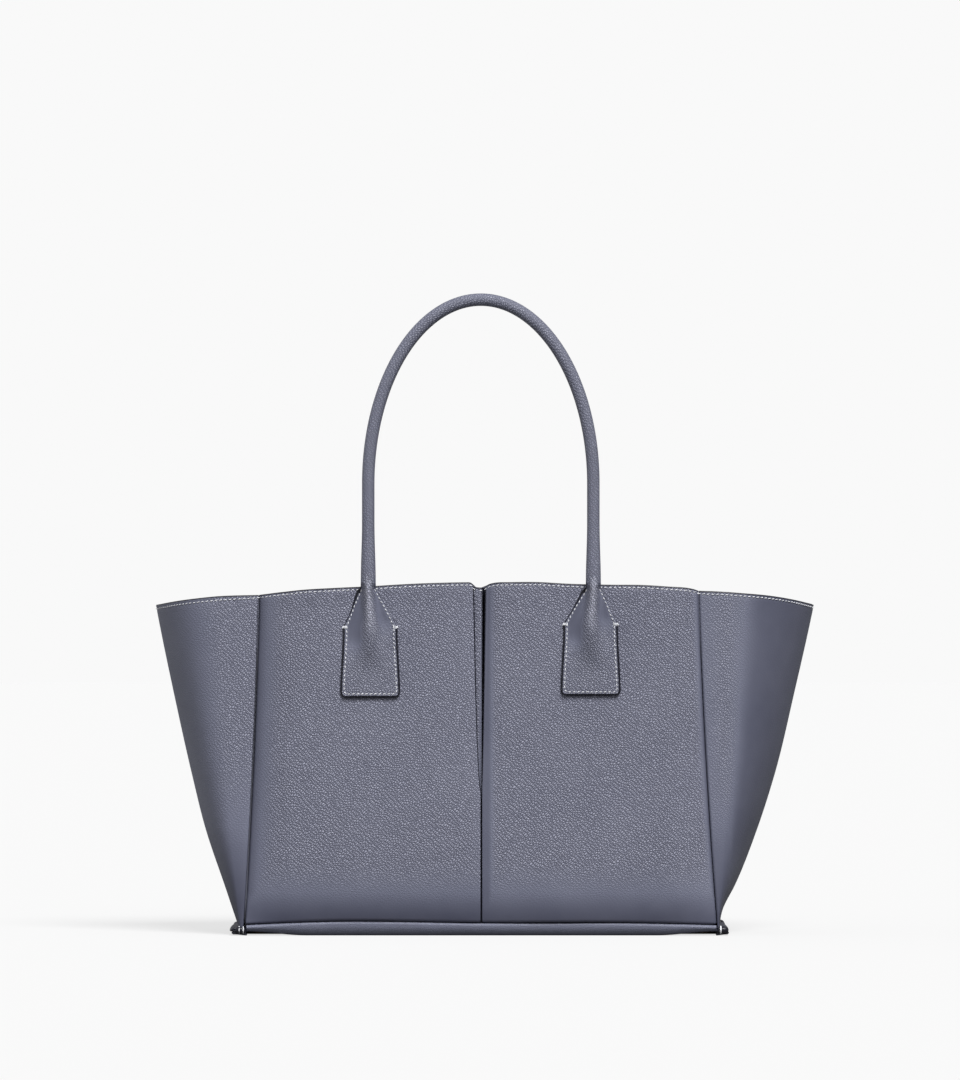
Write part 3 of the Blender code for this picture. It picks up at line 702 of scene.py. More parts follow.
def make_inserts(leather, edge_paint):
    """Recessed strip behind each pleat, bulging a little between the two rolled edges; its right part, in
    the slot's shadow, takes the edge paint and a darker colour as a painted shadow.
    """
    across = np.linspace(-1, 1, INSERT_STEPS + 1)
    for side_word, side in SIDES.items():
        high = insert_rim(across, side)
        low = np.full(len(across), PLEAT_FOOT_HEIGHT - INSERT_OVERRUN)
        z, inset, turns, paint = sheet_ring(low, high, LEATHER, WALL_STEPS)
        x, depth = insert_place(across[:, None], z)
        depth = depth - inset - stitch_groove(z, high[:, None])
        grid = np.stack([x, side * depth, z], axis=-1)
        lean = INSERT_SHADE_LEAN_SHARE * (1 - pleat_climb(z))
        shade = ease((across[:, None] - INSERT_PAINTED_SHADOW_SHARE + lean) / INSERT_SHADE_FADE_SHARE)
        piece = loop_sheet(f"{side_word}_pleat_insert_leather", grid, turns, [leather, edge_paint],
                           paint, {"calm": INSERT_PAINTED_SHADOW * shade.ravel()},
                           np.flatnonzero(across > INSERT_PAINTED_SHADOW_SHARE))
        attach(piece, "root")
        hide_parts(f"{side_word}_pleat_insert")


def wing_stations():
    """Columns of a side wing: crease return, roll, wing, roll and return behind."""
    turn = np.linspace(math.pi / 2, 0, ROLL_STEPS + 1)
    back = gathered(WING_STEPS, WING_GATHER_SHARE)
    ends = ROLL_STEPS + RETURN_STEPS
    back = np.concatenate([np.full(ends, -1.0), back, np.full(ends, 1.0)])
    one_roll = np.concatenate([np.full(RETURN_STEPS, math.pi / 2), turn[:-1]])
    roll = np.concatenate([one_roll, np.zeros(WING_STEPS + 1), one_roll[::-1]])
    one_return = np.concatenate([np.linspace(1, 0, RETURN_STEPS + 1)[:-1], np.zeros(ROLL_STEPS)])
    returns = np.concatenate([one_return, np.zeros(WING_STEPS + 1), one_return[::-1]])
    return back[:, None], roll[:, None], returns[:, None]


def wing_place(back, roll, returns, z, inset, hand):
    """Across and depth of a wing's points, from its front crease round to its rear crease."""
    start = crease_x(z, hand) + SEAM_HALF_GAP[hand]
    length = wing_x(z, hand) - start
    radius = np.minimum(WING_ROLL[hand], WING_ROLL_MOST_SHARE * length)
    wall = np.minimum(inset, WING_WALL_MOST_SHARE * length)
    held = np.minimum(wall, radius)
    out = wing_out(back, hand)
    x = start + radius - (radius - held) * np.sin(roll) + (length - radius - wall) * out
    deep = crease_depth(z, hand) + WING_LAP[hand] * flare(z)
    tuck = radius - (radius - held) * np.cos(roll) - held + CREASE_RETURN * returns
    y = (deep - wall) * back - np.sign(back) * tuck
    return x, y


def wing_swell(back, z, hand):
    level = z / RIM_LEVEL
    back_share, up_share, hand_share = WING_WAVE_SHARES
    fold = WING_WAVE * np.sin(back_share * back + up_share * level + hand_share * hand)
    return fold * np.cos(math.pi / 2 * back) * np.clip(level, 0, 1)


def wing_rim(stations, hand):
    """Height of the rim over each column of a wing, and how far the stitch row lies under it."""
    level = np.full(stations[0].shape, RIM_LEVEL)
    x, _ = wing_place(*stations, level, 0 * level, hand)
    return rim_height(hand * x, stations[0]), stitch_drop(hand * x)


def wing_calm_and_shade(x, z, back, hand):
    """Calm leather with painted shade towards a wing's foot, over its soft fold and along its crease:
    flattened grain, and colour darkened where these places turn from the light.
    """
    calm = WING_FOOT_PAINTED_SHADE * ease((CALM_WING_FOOT - z) / CALM_WING_FOOT)
    turned = (wing_out(back, hand) - CALM_WING_START_SHARE[hand]) / CALM_WING_FADE_SHARE[hand]
    calm = np.maximum(calm, WING_FOLD_PAINTED_SHADE[hand] * ease(turned))
    beside = ease(1 - (x - crease_x(z, hand)) / CALM_WING_CREASE_REACH)
    return np.maximum(calm, WING_CREASE_PAINTED_SHADE[hand] * beside)


def flange_curl(y, out, reach):
    """How far a flange's corners curl up, at a distance out from the wall."""
    return FLANGE_CURL * ease((np.abs(y) - FLANGE_CURL_START) / FLANGE_CURL_LENGTH) * ease(out / reach)


def flange_foot(skin, y):
    """Foot of a wing's section: the bend's inside, the round tip and the bend's outside."""
    bend = np.linspace(0, math.pi / 2, HEM_STEPS)[None, 1:]
    inner_radius = FLANGE_BEND + LEATHER
    inner_x = skin + FLANGE_BEND - inner_radius * np.cos(bend)
    inner_z = WING_FOOT - inner_radius * np.sin(bend) + 0 * skin
    outer_x = skin + FLANGE_BEND * (1 - np.cos(bend))
    outer_z = WING_FOOT - FLANGE_BEND * np.sin(bend) + 0 * skin
    edge = np.linspace(-math.pi / 2, math.pi / 2, EDGE_STEPS + 2)[None, :]
    half = LEATHER / 2
    edge_x = skin + FLANGE_REACH - half + half * np.cos(edge)
    edge_z = FLANGE_FOOT + half + half * np.sin(edge) + 0 * skin
    x = np.concatenate([inner_x, edge_x, outer_x[:, ::-1]], axis=1)
    z = np.concatenate([inner_z, edge_z, outer_z[:, ::-1]], axis=1)
    y = y + 0 * x
    return x, y, z + flange_curl(y, x - skin, WING_CURL_REACH)


def make_gussets(leather, edge_paint):
    """Side wings whose lower edge turns out over the flange of the base."""
    stations = wing_stations()
    back, roll, _ = stations
    for hand_word, hand in HANDS.items():
        high, drop = wing_rim(stations, hand)
        z, inset, turns, paint = sheet_ring(np.full(len(high), WING_FOOT), high[:, 0], LEATHER, WALL_STEPS)
        x, y = wing_place(*stations, z, inset, hand)
        groove = stitch_groove(z, high, drop)
        x = x + wing_swell(back, z, hand) - groove * (1 - np.abs(back))
        y = y - np.sign(y) * groove * np.abs(back)
        foot_x, foot_y, foot_z = flange_foot(x[:, :1], y[:, :1])
        tip = x.shape[1] + HEM_STEPS - 2
        paint = paint | set(range(tip, tip + EDGE_STEPS + 2))
        x = np.concatenate([x, foot_x], axis=1)
        y = np.concatenate([y, foot_y], axis=1)
        z = np.concatenate([z, foot_z], axis=1)
        grid = np.stack([hand * x, y, z], axis=-1)
        # The wing's rolled columns at its creases take the edge paint: partly the painted cut edge, partly
        # painted shade in the crease
        piece = loop_sheet(f"{hand_word}_gusset_leather", grid, turns, [leather, edge_paint], paint,
                           {"calm": wing_calm_and_shade(x, z, back, hand).ravel()},
                           np.flatnonzero(roll[:, 0] > LAP_EDGE_PAINT_AND_SHADE[hand]))
        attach(piece, "root")
        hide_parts(f"{hand_word}_gusset")


# Facing and lining

def face_layer(side, share, z, inset):
    """Places of an inner layer behind a front or rear wall, from crease to crease."""
    crease = np.where(share >= 0, crease_x(z, RIGHT), crease_x(z, LEFT))
    x = share * (crease - inset * (1 - flare(z)))
    hold = np.where(share < 0, PLEAT_HALF[LEFT], PLEAT_HALF[RIGHT]) + LEATHER + LAYER_GAP
    bypass = LINING_RETURN * (1 - ease((np.abs(x) - hold) / LINING_BYPASS))
    outside = np.where(share >= 0, face_depth(x, z, RIGHT), face_depth(x, z, LEFT))
    return np.stack([x, side * (outside - bypass - inset), z + 0 * x], axis=-1)


def wing_layer(hand, back, z, inset):
    """Places of an inner layer behind a side wing, from its front crease to its rear crease."""
    out = wing_out(back, hand)
    narrow = inset * (1 - flare(z))
    start = crease_x(z, hand) - narrow
    length = wing_x(z, hand) - crease_x(z, hand) - inset + narrow
    y = (crease_depth(z, hand) - inset) * back
    return np.stack([hand * (start + length * out), y, z + 0 * out], axis=-1)


def layer_columns(word, z, inset):
    """Grid of one inner piece. z and inset are given by column and ring step."""
    if word in SIDES:
        share = np.linspace(-1, 1, LAYER_STEPS + 1)[:, None]
        return face_layer(SIDES[word], share, z, inset)
    back = np.sin(math.pi / 2 * np.linspace(-1, 1, WING_LAYER_STEPS + 1))[:, None]
    hand = HANDS[word]
    grid = wing_layer(hand, back, z, inset)
    for column, side in ((0, FRONT), (-1, REAR)):
        corner = face_layer(side, np.array([[hand * 1.0]]), z[[column]], inset[[column]])
        grid[column] = corner[0]
    return grid


def layer_rim(word, inset):
    """Height of the rim over each column of an inner piece."""
    count = LAYER_STEPS + 1 if word in SIDES else WING_LAYER_STEPS + 1
    level = np.full((count, 1), RIM_LEVEL)
    rim = layer_columns(word, level, 0 * level + inset)[:, 0]
    return rim_height(rim[:, 0], rim[:, 1] / crease_depth(RIM_LEVEL, LEFT))


def make_layer(layer, inset, thickness, low_of, high_of, steps, materials):
    """Four pieces of an inner layer of the wall."""
    for word in (*SIDES, *HANDS):
        high = layer_rim(word, inset)
        z, extra, turns, paint = sheet_ring(low_of(high), high_of(high), thickness, steps)
        grid = layer_columns(word, z, extra + inset)
        for end, inner in ((0, 1), (-1, -2)):
            ahead = grid[inner] - grid[end]
            size = np.maximum(np.linalg.norm(ahead, axis=-1, keepdims=True), LAYER_GAP)
            grid[end] += ahead * LAYER_GAP / size
        piece = loop_sheet(f"{word}_{layer}_layer", grid, turns, materials, paint,
                           {"calm": np.full(z.size, CALM_LAYER)})
        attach(piece, "root")
        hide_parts(f"{word}_{layer}")


def make_backings(board):
    """Stiff patch behind each tab, between the panel and the lining."""
    half = TAB_FOOT_HALF - BACKING_MARGIN
    for corner, (side, hand) in CORNERS.items():
        x = hand * TAB_CENTRE[hand] + np.linspace(-half, half, BACKING_STEPS + 1)
        low = np.full(len(x), TAB_FOOT[hand] + BACKING_MARGIN)
        high = rim_height(hand * x, side) - FACING_HEIGHT - BACKING_MARGIN
        z, inset, turns, _ = sheet_ring(low, high, BACKING_BOARD, BACKING_WALL_STEPS)
        x = x[:, None] + 0 * z
        depth = panel_skin(x, z, hand) - BACKING_IN - inset
        grid = np.stack([hand * x, side * depth, z], axis=-1)
        piece = loop_sheet(f"{corner}_backing_board", grid, turns, [board])
        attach(piece, "root")
        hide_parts(f"{corner}_backing")


def make_floor_lining(cloth):
    """Lining on the base board, a little puffed between its edges."""
    low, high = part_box("base_lining")
    share_x, share_y = (np.linspace(0, 1, steps + 1) for steps in FLOOR_STEPS)
    x, y = np.meshgrid(low.x + (high.x - low.x) * share_x, low.y + (high.y - low.y) * share_y,
                       indexing="ij")
    rise = np.sin(math.pi * share_x)[:, None] * np.sin(math.pi * share_y)[None, :]
    top = np.stack([x, y, high.z + FLOOR_PUFF * rise ** 0.5], axis=-1)
    foot = np.stack([x, y, np.full(x.shape, low.z)], axis=-1)
    points = np.concatenate([top.reshape(-1, 3), foot.reshape(-1, 3)])
    piece = mesh_piece("base_lining_cloth", points, grid_faces(*x.shape), [cloth])
    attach(piece, "root")
    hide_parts("base_lining")


def grid_faces(rows, columns):
    """Quads of a plate whose upper grid is followed by its lower grid."""
    inner = rows * columns
    faces = []
    for row in range(rows - 1):
        for column in range(columns - 1):
            corner = row * columns + column
            quad = (corner, corner + 1, corner + columns + 1, corner + columns)
            faces.append(quad)
            faces.append(tuple(inner + index for index in reversed(quad)))
    border = list(range(columns))
    border += [row * columns + columns - 1 for row in range(1, rows)]
    border += [(rows - 1) * columns + column for column in range(columns - 2, -1, -1)]
    border += [row * columns for row in range(rows - 2, 0, -1)]
    for index, following in zip(border, border[1:] + border[:1]):
        faces.append((index, inner + index, inner + following, following))
    return faces


# Bottom

def strip_profile(inset, seam, lift):
    """Half section of the base, from its front lip over the rounded edge to under the bag."""
    half = BASE_DEPTH / 2 + STRIP_BULGE
    top = max(STRIP_TOP_RADIUS - inset, 0)
    points = []
    for turn in np.linspace(math.pi / 2, 0, STRIP_TOP_STEPS + 1):
        y = STRIP_TOP_RADIUS - half - top * math.cos(turn)
        points.append((y, seam - STRIP_TOP_RADIUS + top * math.sin(turn)))
    radius = STRIP_EDGE_RADIUS
    drop = seam - STRIP_TOP_RADIUS - lift
    for turn in np.linspace(0, math.pi / 2, STRIP_EDGE_STEPS + 1):
        y = radius - half - (radius - inset) * math.cos(turn)
        points.append((y, lift + drop - (drop - inset) * math.sin(turn)))
    points.append((radius - half + STRIP_UNDER / 2, lift / 2 + inset))
    points.append((radius - half + STRIP_UNDER, inset))
    return points


def make_base(leather):
    half = crease_x(0.0, LEFT) - STRIP_END_IN
    rings = []
    for x in np.linspace(-half, half, BASE_STEPS + 1):
        seam = float(seam_height(np.array(x))) - STRIP_SEAM_DROP
        lift = STRIP_END_LIFT * float(ease((abs(x) - half + STRIP_END_LENGTH) / STRIP_END_LENGTH))
        outer = strip_profile(0.0, seam, lift)
        inner = strip_profile(BASE_LEATHER, seam, lift)
        outer = outer + [(-y, z) for y, z in reversed(outer)]
        inner = inner + [(-y, z) for y, z in reversed(inner)]
        rings.append([(x, y, z) for y, z in outer + inner[::-1]])
    grid = np.array(rings)
    ring = grid.shape[1]
    # The whole base leather has flattened grain and the darker colour, which darkens the strip as painted
    # shade
    piece = loop_sheet("base_leather", grid, (ring // 2, ring - 1), [leather],
                       attributes={"calm": np.full(grid[..., 0].size, BASE_CALM_AND_SHADE),
                                   "hide": wound_places(grid)})
    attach(piece, "root")
    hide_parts("base_panel")


def make_base_flanges(leather, edge_paint):
    """Flat ends of the base leather, under the turned-out foot of each wing."""
    inside = crease_x(0.0, LEFT) - BASE_FLANGE_IN
    radius = (BASE_LEATHER - BASE_FLANGE_FOOT) / 2
    middle = (BASE_LEATHER + BASE_FLANGE_FOOT) / 2
    turn = np.linspace(-math.pi / 2, math.pi / 2, FLANGE_EDGE_STEPS + 1)
    half = BASE_DEPTH / 2 - BASE_FLANGE_END_IN
    y = np.linspace(-half, half, FLANGE_STEPS + 1)[:, None]
    for hand_word, hand in HANDS.items():
        tip = WING_LINE[hand][0][1] + FLANGE_REACH - BASE_FLANGE_SETBACK
        x = np.concatenate([[inside, inside], tip - radius + radius * np.cos(turn)]) + 0 * y
        z = np.concatenate([[BASE_LEATHER, BASE_FLANGE_FOOT], middle + radius * np.sin(turn)])
        z = z + flange_curl(y, x - inside, BASE_CURL_REACH)
        grid = np.stack([hand * x, y + 0 * x, z], axis=-1)
        columns, ring = grid.shape[:2]
        slots = [int(2 <= step < ring - 1) for _ in range(columns - 1) for step in range(ring)]
        piece = mesh_piece(f"{hand_word}_base_flange", grid.reshape(-1, 3), tube_faces(columns, ring),
                           [leather, edge_paint], slots + [1, 1],
                           {"calm": np.full(x.size, CALM_FLANGE), "hide": wound_places(grid)})
        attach(piece, "root")


def make_ears(edge_paint, thread):
    """Rounded ends of the flanges at the four corners, each bound with white thread."""
    rows, count = EAR_STEPS
    tilt = np.linspace(-math.pi / 2, math.pi / 2, rows + 1)[:, None]
    turn = np.linspace(0, math.tau, count + 1)[None, :-1]
    direction = np.stack([np.cos(tilt) * np.cos(turn), np.cos(tilt) * np.sin(turn),
                          np.sin(tilt) + 0 * turn], axis=-1).reshape(-1, 3)
    rounded = np.sign(direction) * np.abs(direction) ** EAR_SQUARE_SHARE * np.array(EAR_HALF)
    for corner, (side, hand) in CORNERS.items():
        centre = np.array([hand * EAR_CENTRE[0], side * EAR_CENTRE[1], EAR_CENTRE[2]])
        name = f"{corner}_ear"
        ear = mesh_piece(name, centre + rounded, tube_faces(rows + 1, count), [edge_paint])
        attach(ear, "root")
        for index, (across, radius) in enumerate(EAR_THREADS[hand]):
            make_thread_ring(f"{name}_thread_{index + 1}", centre, hand * across, radius, thread)


def make_thread_ring(name, centre, across, radius, thread):
    """One turn of thread round an ear."""
    turns, sides = EAR_THREAD_STEPS
    sideways = np.array([1.0, 0.0, 0.0])
    points = []
    for turn in np.linspace(0, math.tau, turns + 1)[:-1]:
        out = np.array([0.0, math.cos(turn), math.sin(turn)])
        place = np.array([across, centre[1], centre[2]]) + out * np.array(EAR_HALF) * EAR_BIND_SHARE
        for roll in np.linspace(0, math.tau, sides + 1)[:-1]:
            points.append(place + radius * (math.cos(roll) * out + math.sin(roll) * sideways))
    piece = mesh_piece(name, points, side_quads(turns, sides, closed=True), [thread])
    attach(piece, "root")


# Handles

def tube_radius(z):
    swollen = ease((TUBE_FOOT_TOP - z) / TUBE_FOOT_REACH)
    return TUBE_RADIUS + (TUBE_FOOT_RADIUS - TUBE_RADIUS) * swollen


def arch_point(turn, side):
    lift = REAR_ARCH_LIFT if side == REAR else 0.0
    spread = REAR_ARCH_SPREAD if side == REAR else 0.0
    x = ARCH_SHIFT + (ARCH_HALF_SPAN + spread) * math.cos(turn)
    return x, SPRING_HEIGHT + (ARCH_RISE + lift) * math.sin(turn)


def leg_x(hand, side=FRONT):
    return arch_point(0 if hand == RIGHT else math.pi, side)[0]


def tab_middle(z, hand, side=FRONT):
    """Across place of a tab's middle, which moves over to its tube up the neck."""
    moved = ease((z - TAB_SHOULDER[hand]) / (NECK_SWING_END - TAB_SHOULDER[hand]))
    return TAB_CENTRE[hand] + (leg_x(hand, side) - TAB_CENTRE[hand]) * moved


def tab_half(z, hand):
    """Half width of a tab and its neck: round corners, waisted sides, drawn-in neck."""
    foot = TAB_FOOT[hand]
    shoulder = TAB_SHOULDER[hand]
    rest = np.clip(TAB_CORNER - (z - foot), 0, TAB_CORNER)
    corner = TAB_FOOT_HALF - TAB_CORNER + np.sqrt(TAB_CORNER ** 2 - rest ** 2)
    side = TAB_FOOT_HALF + (TAB_SHOULDER_HALF - TAB_FOOT_HALF) * ease((z - foot) / (shoulder - foot))
    share = np.clip((z - shoulder) / (NECK_TOP - shoulder), 0, 1)
    neck = NECK_HALF + (TAB_SHOULDER_HALF - NECK_HALF) * (1 - share)
    return np.where(z < foot + TAB_CORNER, corner, np.where(z < shoulder, side, neck))


def tab_stitch_in(z, hand):
    """Distance of the row from a tab's edge, less up the neck."""
    climb = (z - TAB_SHOULDER[hand] + TAB_CORNER) / (NECK_TOP - TAB_SHOULDER[hand])
    share = np.clip(climb * NECK_STITCH_SHARE, 0, 1)
    return TAB_STITCH_IN + (NECK_STITCH_IN - TAB_STITCH_IN) * share


def tab_front(across, z, hand):
    """Height of a tab's front above the panel at a place across it."""
    half = tab_half(z, hand)
    edge = half - np.abs(across)
    nearest = np.minimum(edge, z - TAB_FOOT[hand])
    roundness = np.clip(nearest / TAB_EDGE_ROUND, 0, 1)
    skin = TAB_THICKNESS * np.sqrt(np.clip(1 - (1 - roundness) ** 2, 0, 1))
    from_row = nearest - tab_stitch_in(z, hand)
    groove = TAB_GROOVE_DEPTH * np.exp(-(from_row / TAB_GROOVE_HALF) ** 2)
    fade = 1 - ease((TAB_SHOULDER[hand] - z) / RIDGE_FADE)
    climb = np.clip((z - TAB_SHOULDER[hand]) / (HANDLE_RIM_HEIGHT - TAB_SHOULDER[hand]), 0, 1)
    width = RIDGE_SHOULDER_HALF + (RIDGE_TOP_HALF - RIDGE_SHOULDER_HALF) * climb
    width = width + RIDGE_FOOT_SPREAD * (1 - fade)
    bump = np.cos(np.clip(across / width, -1, 1) * math.pi / 2) ** RIDGE_ROUND_SHARE
    height = (RIDGE_SHOULDER + (RIDGE_TOP - RIDGE_SHOULDER) * climb) * fade
    from_dimple = np.abs(across) - half * DIMPLE_AT_SHARE
    dimple = DIMPLE_DEPTH * fade * (1 - climb) * np.exp(-(from_dimple / DIMPLE_HALF) ** 2)
    return skin - groove + height * bump * ease(edge / RIDGE_EDGE_FADE) - dimple


def tube_path(side, foot):
    """Middle of a handle's tube from leg to leg, as (across, height, inward direction)."""
    leg = np.linspace(foot, SPRING_HEIGHT, LEG_STEPS + 1)[1:-1]
    path = [(leg_x(LEFT, side), z, 1, 0) for z in leg]
    for turn in np.linspace(math.pi, 0, ARCH_STEPS + 1):
        x, z = arch_point(turn, side)
        tangent_x = ARCH_HALF_SPAN * math.sin(turn)
        tangent_z = -ARCH_RISE * math.cos(turn)
        size = math.hypot(tangent_x, tangent_z)
        path.append((x, z, tangent_z / size, -tangent_x / size))
    return path + [(leg_x(RIGHT, side), z, -1, 0) for z in leg[::-1]]


def tube_ring(place, radius, side):
    """Round section at one place of a tube's path."""
    x, z, inward_x, inward_z = place
    turn = np.linspace(0, math.tau, TUBE_SIDES + 1)[:-1]
    out = radius * np.cos(turn)
    deep = side * (PIVOT_DEPTH + radius * np.sin(turn))
    return np.stack([x + inward_x * out, deep, z + inward_z * out], axis=-1)


def make_cords(filler):
    """Cord inside each rolled handle, drawn in at both ends."""
    for side_word, side in SIDES.items():
        path = tube_path(side, PIVOT_HEIGHT)
        radii = [CORD_RADIUS] * len(path)
        radii[0] = radii[-1] = CORD_RADIUS * CORD_END_SHARE
        grid = np.array([tube_ring(place, radius, side) for place, radius in zip(path, radii)])
        piece = mesh_piece(f"{side_word}_handle_cord", grid.reshape(-1, 3),
                           tube_faces(len(path), TUBE_SIDES), [filler])
        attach(piece, f"{side_word}_handle")
        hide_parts(f"{side_word}_handle_core")


def tab_ring(z, hand, side):
    """Section of a tab or its neck at one height: the front from right to left, then the back."""
    front_count = TUBE_SIDES // 2
    half = float(tab_half(np.array(z), hand))
    centre = float(tab_middle(z, hand, side))
    edge = half - np.minimum(EDGE_COLUMNS, half * EDGE_MOST_SHARE)
    inner = edge[-1] - TAB_EDGE_ROUND * EDGE_INNER_SHARE
    # A flat strip beyond the left edge of the upper neck, flush with the panel and painted dark: a painted
    # shadow of the raised neck
    shadow_flap = NECK_SHADOW_FLAP * np.clip((z - NECK_SHADOW_FLAP_FOOT) / (TUBE_BLEND_START - NECK_SHADOW_FLAP_FOOT), 0, 1)
    shadow_flap = shadow_flap * (1 - float(ease((z - TUBE_BLEND_START) / NECK_SHADOW_FLAP_CLOSE)))
    shadow_reach = shadow_flap * (1 - EDGE_COLUMNS / EDGE_COLUMNS[-1])
    even = np.linspace(1, -1, front_count + 1 - 2 * len(EDGE_COLUMNS))
    across = np.concatenate([edge, even * inner, -(edge + shadow_reach)[::-1]])
    level = np.full(across.shape, min(z, float(rim_height(np.array(centre)))))
    back = panel_skin(np.abs(centre + across), level, hand) + LAYER_GAP
    front = back + tab_front(across, z, hand)
    blend = float(ease((z - TUBE_BLEND_START) / (TUBE_BLEND_END - TUBE_BLEND_START)))
    turn = np.linspace(0, math.pi, front_count + 1)
    radius = float(tube_radius(z))
    x = centre + across
    x = x + (leg_x(hand, side) + radius * np.cos(turn) - x) * blend
    front = front + (PIVOT_DEPTH + radius * np.sin(turn) - front) * blend
    back = back + (PIVOT_DEPTH - radius * np.sin(turn) - back) * blend
    height = np.full(x.shape, z)
    return np.concatenate([np.stack([x, side * front, height], axis=-1),
                           np.stack([x, side * back, height], axis=-1)[-2:0:-1]])


def handle_grid(side):
    """Rings of both tabs, their necks and the rolled tube, as one skin."""
    left_heights = tab_heights(LEFT)
    rings = [tab_ring(z, LEFT, side) for z in left_heights]
    rings += [tube_ring(place, float(tube_radius(place[1])), side)
              for place in tube_path(side, left_heights[-1])]
    half = TUBE_SIDES // 2
    for z in tab_heights(RIGHT)[::-1]:
        ring = tab_ring(z, RIGHT, side)
        rings.append(np.concatenate([ring[half::-1], ring[:half:-1]]))
    return np.array(rings)


def tab_heights(hand):
    """Heights of a tab's rings, closer together at its foot edge."""
    foot = TAB_FOOT[hand]
    shoulder = TAB_SHOULDER[hand]
    turn = np.linspace(0, math.pi / 2, CORNER_STEPS + 1)
    corner = foot + TAB_CORNER * (1 - np.cos(turn))
    flat = np.linspace(foot + TAB_CORNER, shoulder, TAB_STEPS + 1)[1:]
    neck = np.linspace(shoulder, NECK_END, NECK_STEPS + 1)[1:]
    return sorted(set(np.round(np.concatenate([corner, foot + EDGE_COLUMNS[1:], flat, neck]), 7)))


def make_handles(leather, edge_paint):
    for side_word, side in SIDES.items():
        grid = handle_grid(side)
        points = grid.reshape(-1, 3)
        faces = tube_faces(*grid.shape[:2])
        painted = paint_mask(points)
        slots = [int(painted[list(face)].mean() > 0.5) for face in faces]
        slots[-2:] = [1, 1]
        piece = mesh_piece(f"{side_word}_handle_leather", points, faces, [leather, edge_paint], slots,
                           {"calm": handle_calm_and_shade(points), "hide": rolled_hide_places(grid)})
        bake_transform(piece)
        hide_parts(f"{side_word}_handle_tube", f"{side_word}_left_tab", f"{side_word}_right_tab")


def rolled_hide_places(grid):
    """Places on the hide of a handle: round the tube from its edge, and along its middle."""
    ring = np.linalg.norm(np.diff(grid, axis=1), axis=-1)
    half = grid.shape[1] // 2
    front = np.concatenate([0 * ring[:, :1], np.cumsum(ring[:, :half], axis=1)], axis=1)
    across = np.concatenate([front, front[:, half - 1:0:-1]], axis=1)
    across = front[:, half // 2][:, None] - across
    steps = np.linalg.norm(np.diff(grid.mean(axis=1), axis=0), axis=-1)
    along = np.concatenate([[0], np.cumsum(steps)])[:, None] + 0 * across
    return np.stack([across, along, 0 * across], axis=-1).reshape(-1, 3)


def handle_calm_and_shade(points):
    """Smoother leather with painted shade in the hollows beside each ridge, a little smoothing on the tube,
    and a painted highlight on the crest.
    """
    z = points[:, 2]
    calm = CALM_TUBE * ease((z - TUBE_BLEND_START) / CALM_TUBE_FADE)
    below_rim = 1 - ease((z - TUBE_BLEND_END) / CALM_RIM_FADE)
    for hand in (LEFT, RIGHT):
        across = points[:, 0] - tab_middle(z, hand)
        above_shoulder = z - TAB_SHOULDER[hand]
        narrowing = np.clip(tab_half(z, hand) / TAB_SHOULDER_HALF, HOLLOW_NARROW_SHARE, 1)
        on_tab = np.abs(across) < TAB_REACH
        held = below_rim * on_tab
        for place in (LEFT, RIGHT):
            from_hollow = across - HOLLOW_PLACE[place] * narrowing
            beside = np.exp(-(from_hollow / HOLLOW_HALF[place]) ** 2)
            rising = ease((above_shoulder + HOLLOW_REACH[place]) / HOLLOW_FADE)
            hollow = HOLLOW_PAINTED_SHADE[place] * ease(beside * HOLLOW_FULL_SHARE) * held * rising
            calm = np.where(on_tab, np.maximum(calm, hollow), calm)
        rising = ease((above_shoulder + CREST_START) / CREST_FADE)
        crest = np.exp(-(across / CREST_HALF) ** 2) * held * rising
        calm = calm - (calm + CREST_PAINTED_HIGHLIGHT) * crest
    return calm


def paint_mask(points):
    """Cut edge of the tabs: the band within the rounding of the outline, and the flat strip beside the left
    of each upper neck, which is a painted shadow.
    """
    marked = np.zeros(len(points), dtype=bool)
    z = points[:, 2]
    for hand in (LEFT, RIGHT):
        across = points[:, 0] - tab_middle(z, hand)
        neck_width = np.where(across < 0, NECK_PAINT[LEFT], NECK_PAINT[RIGHT])
        width = np.where(z < TAB_SHOULDER[hand], PAINTED_EDGE, neck_width)
        near = (np.abs(across) < TAB_REACH) & (z < TUBE_BLEND_END)
        edge = np.minimum(tab_half(z, hand) - np.abs(across), z - TAB_FOOT[hand])
        marked |= near & (edge < width + PAINT_TOLERANCE)
    return marked


# Nodes and stitches

def add_node(tree, kind, settings=None, **inputs):
    """Node with its settings and inputs; an input named _0 or _1 is meant by its number."""
    made = tree.nodes.new(kind)
    for key, value in (settings or {}).items():
        setattr(made, key, value)
    for key, value in inputs.items():
        socket = made.inputs[int(key[1:])] if key[1:].isdigit() else made.inputs[key.replace("_", " ")]
        if isinstance(value, bpy.types.NodeSocket):
            tree.links.new(value, socket)
        else:
            socket.default_value = value
    return made


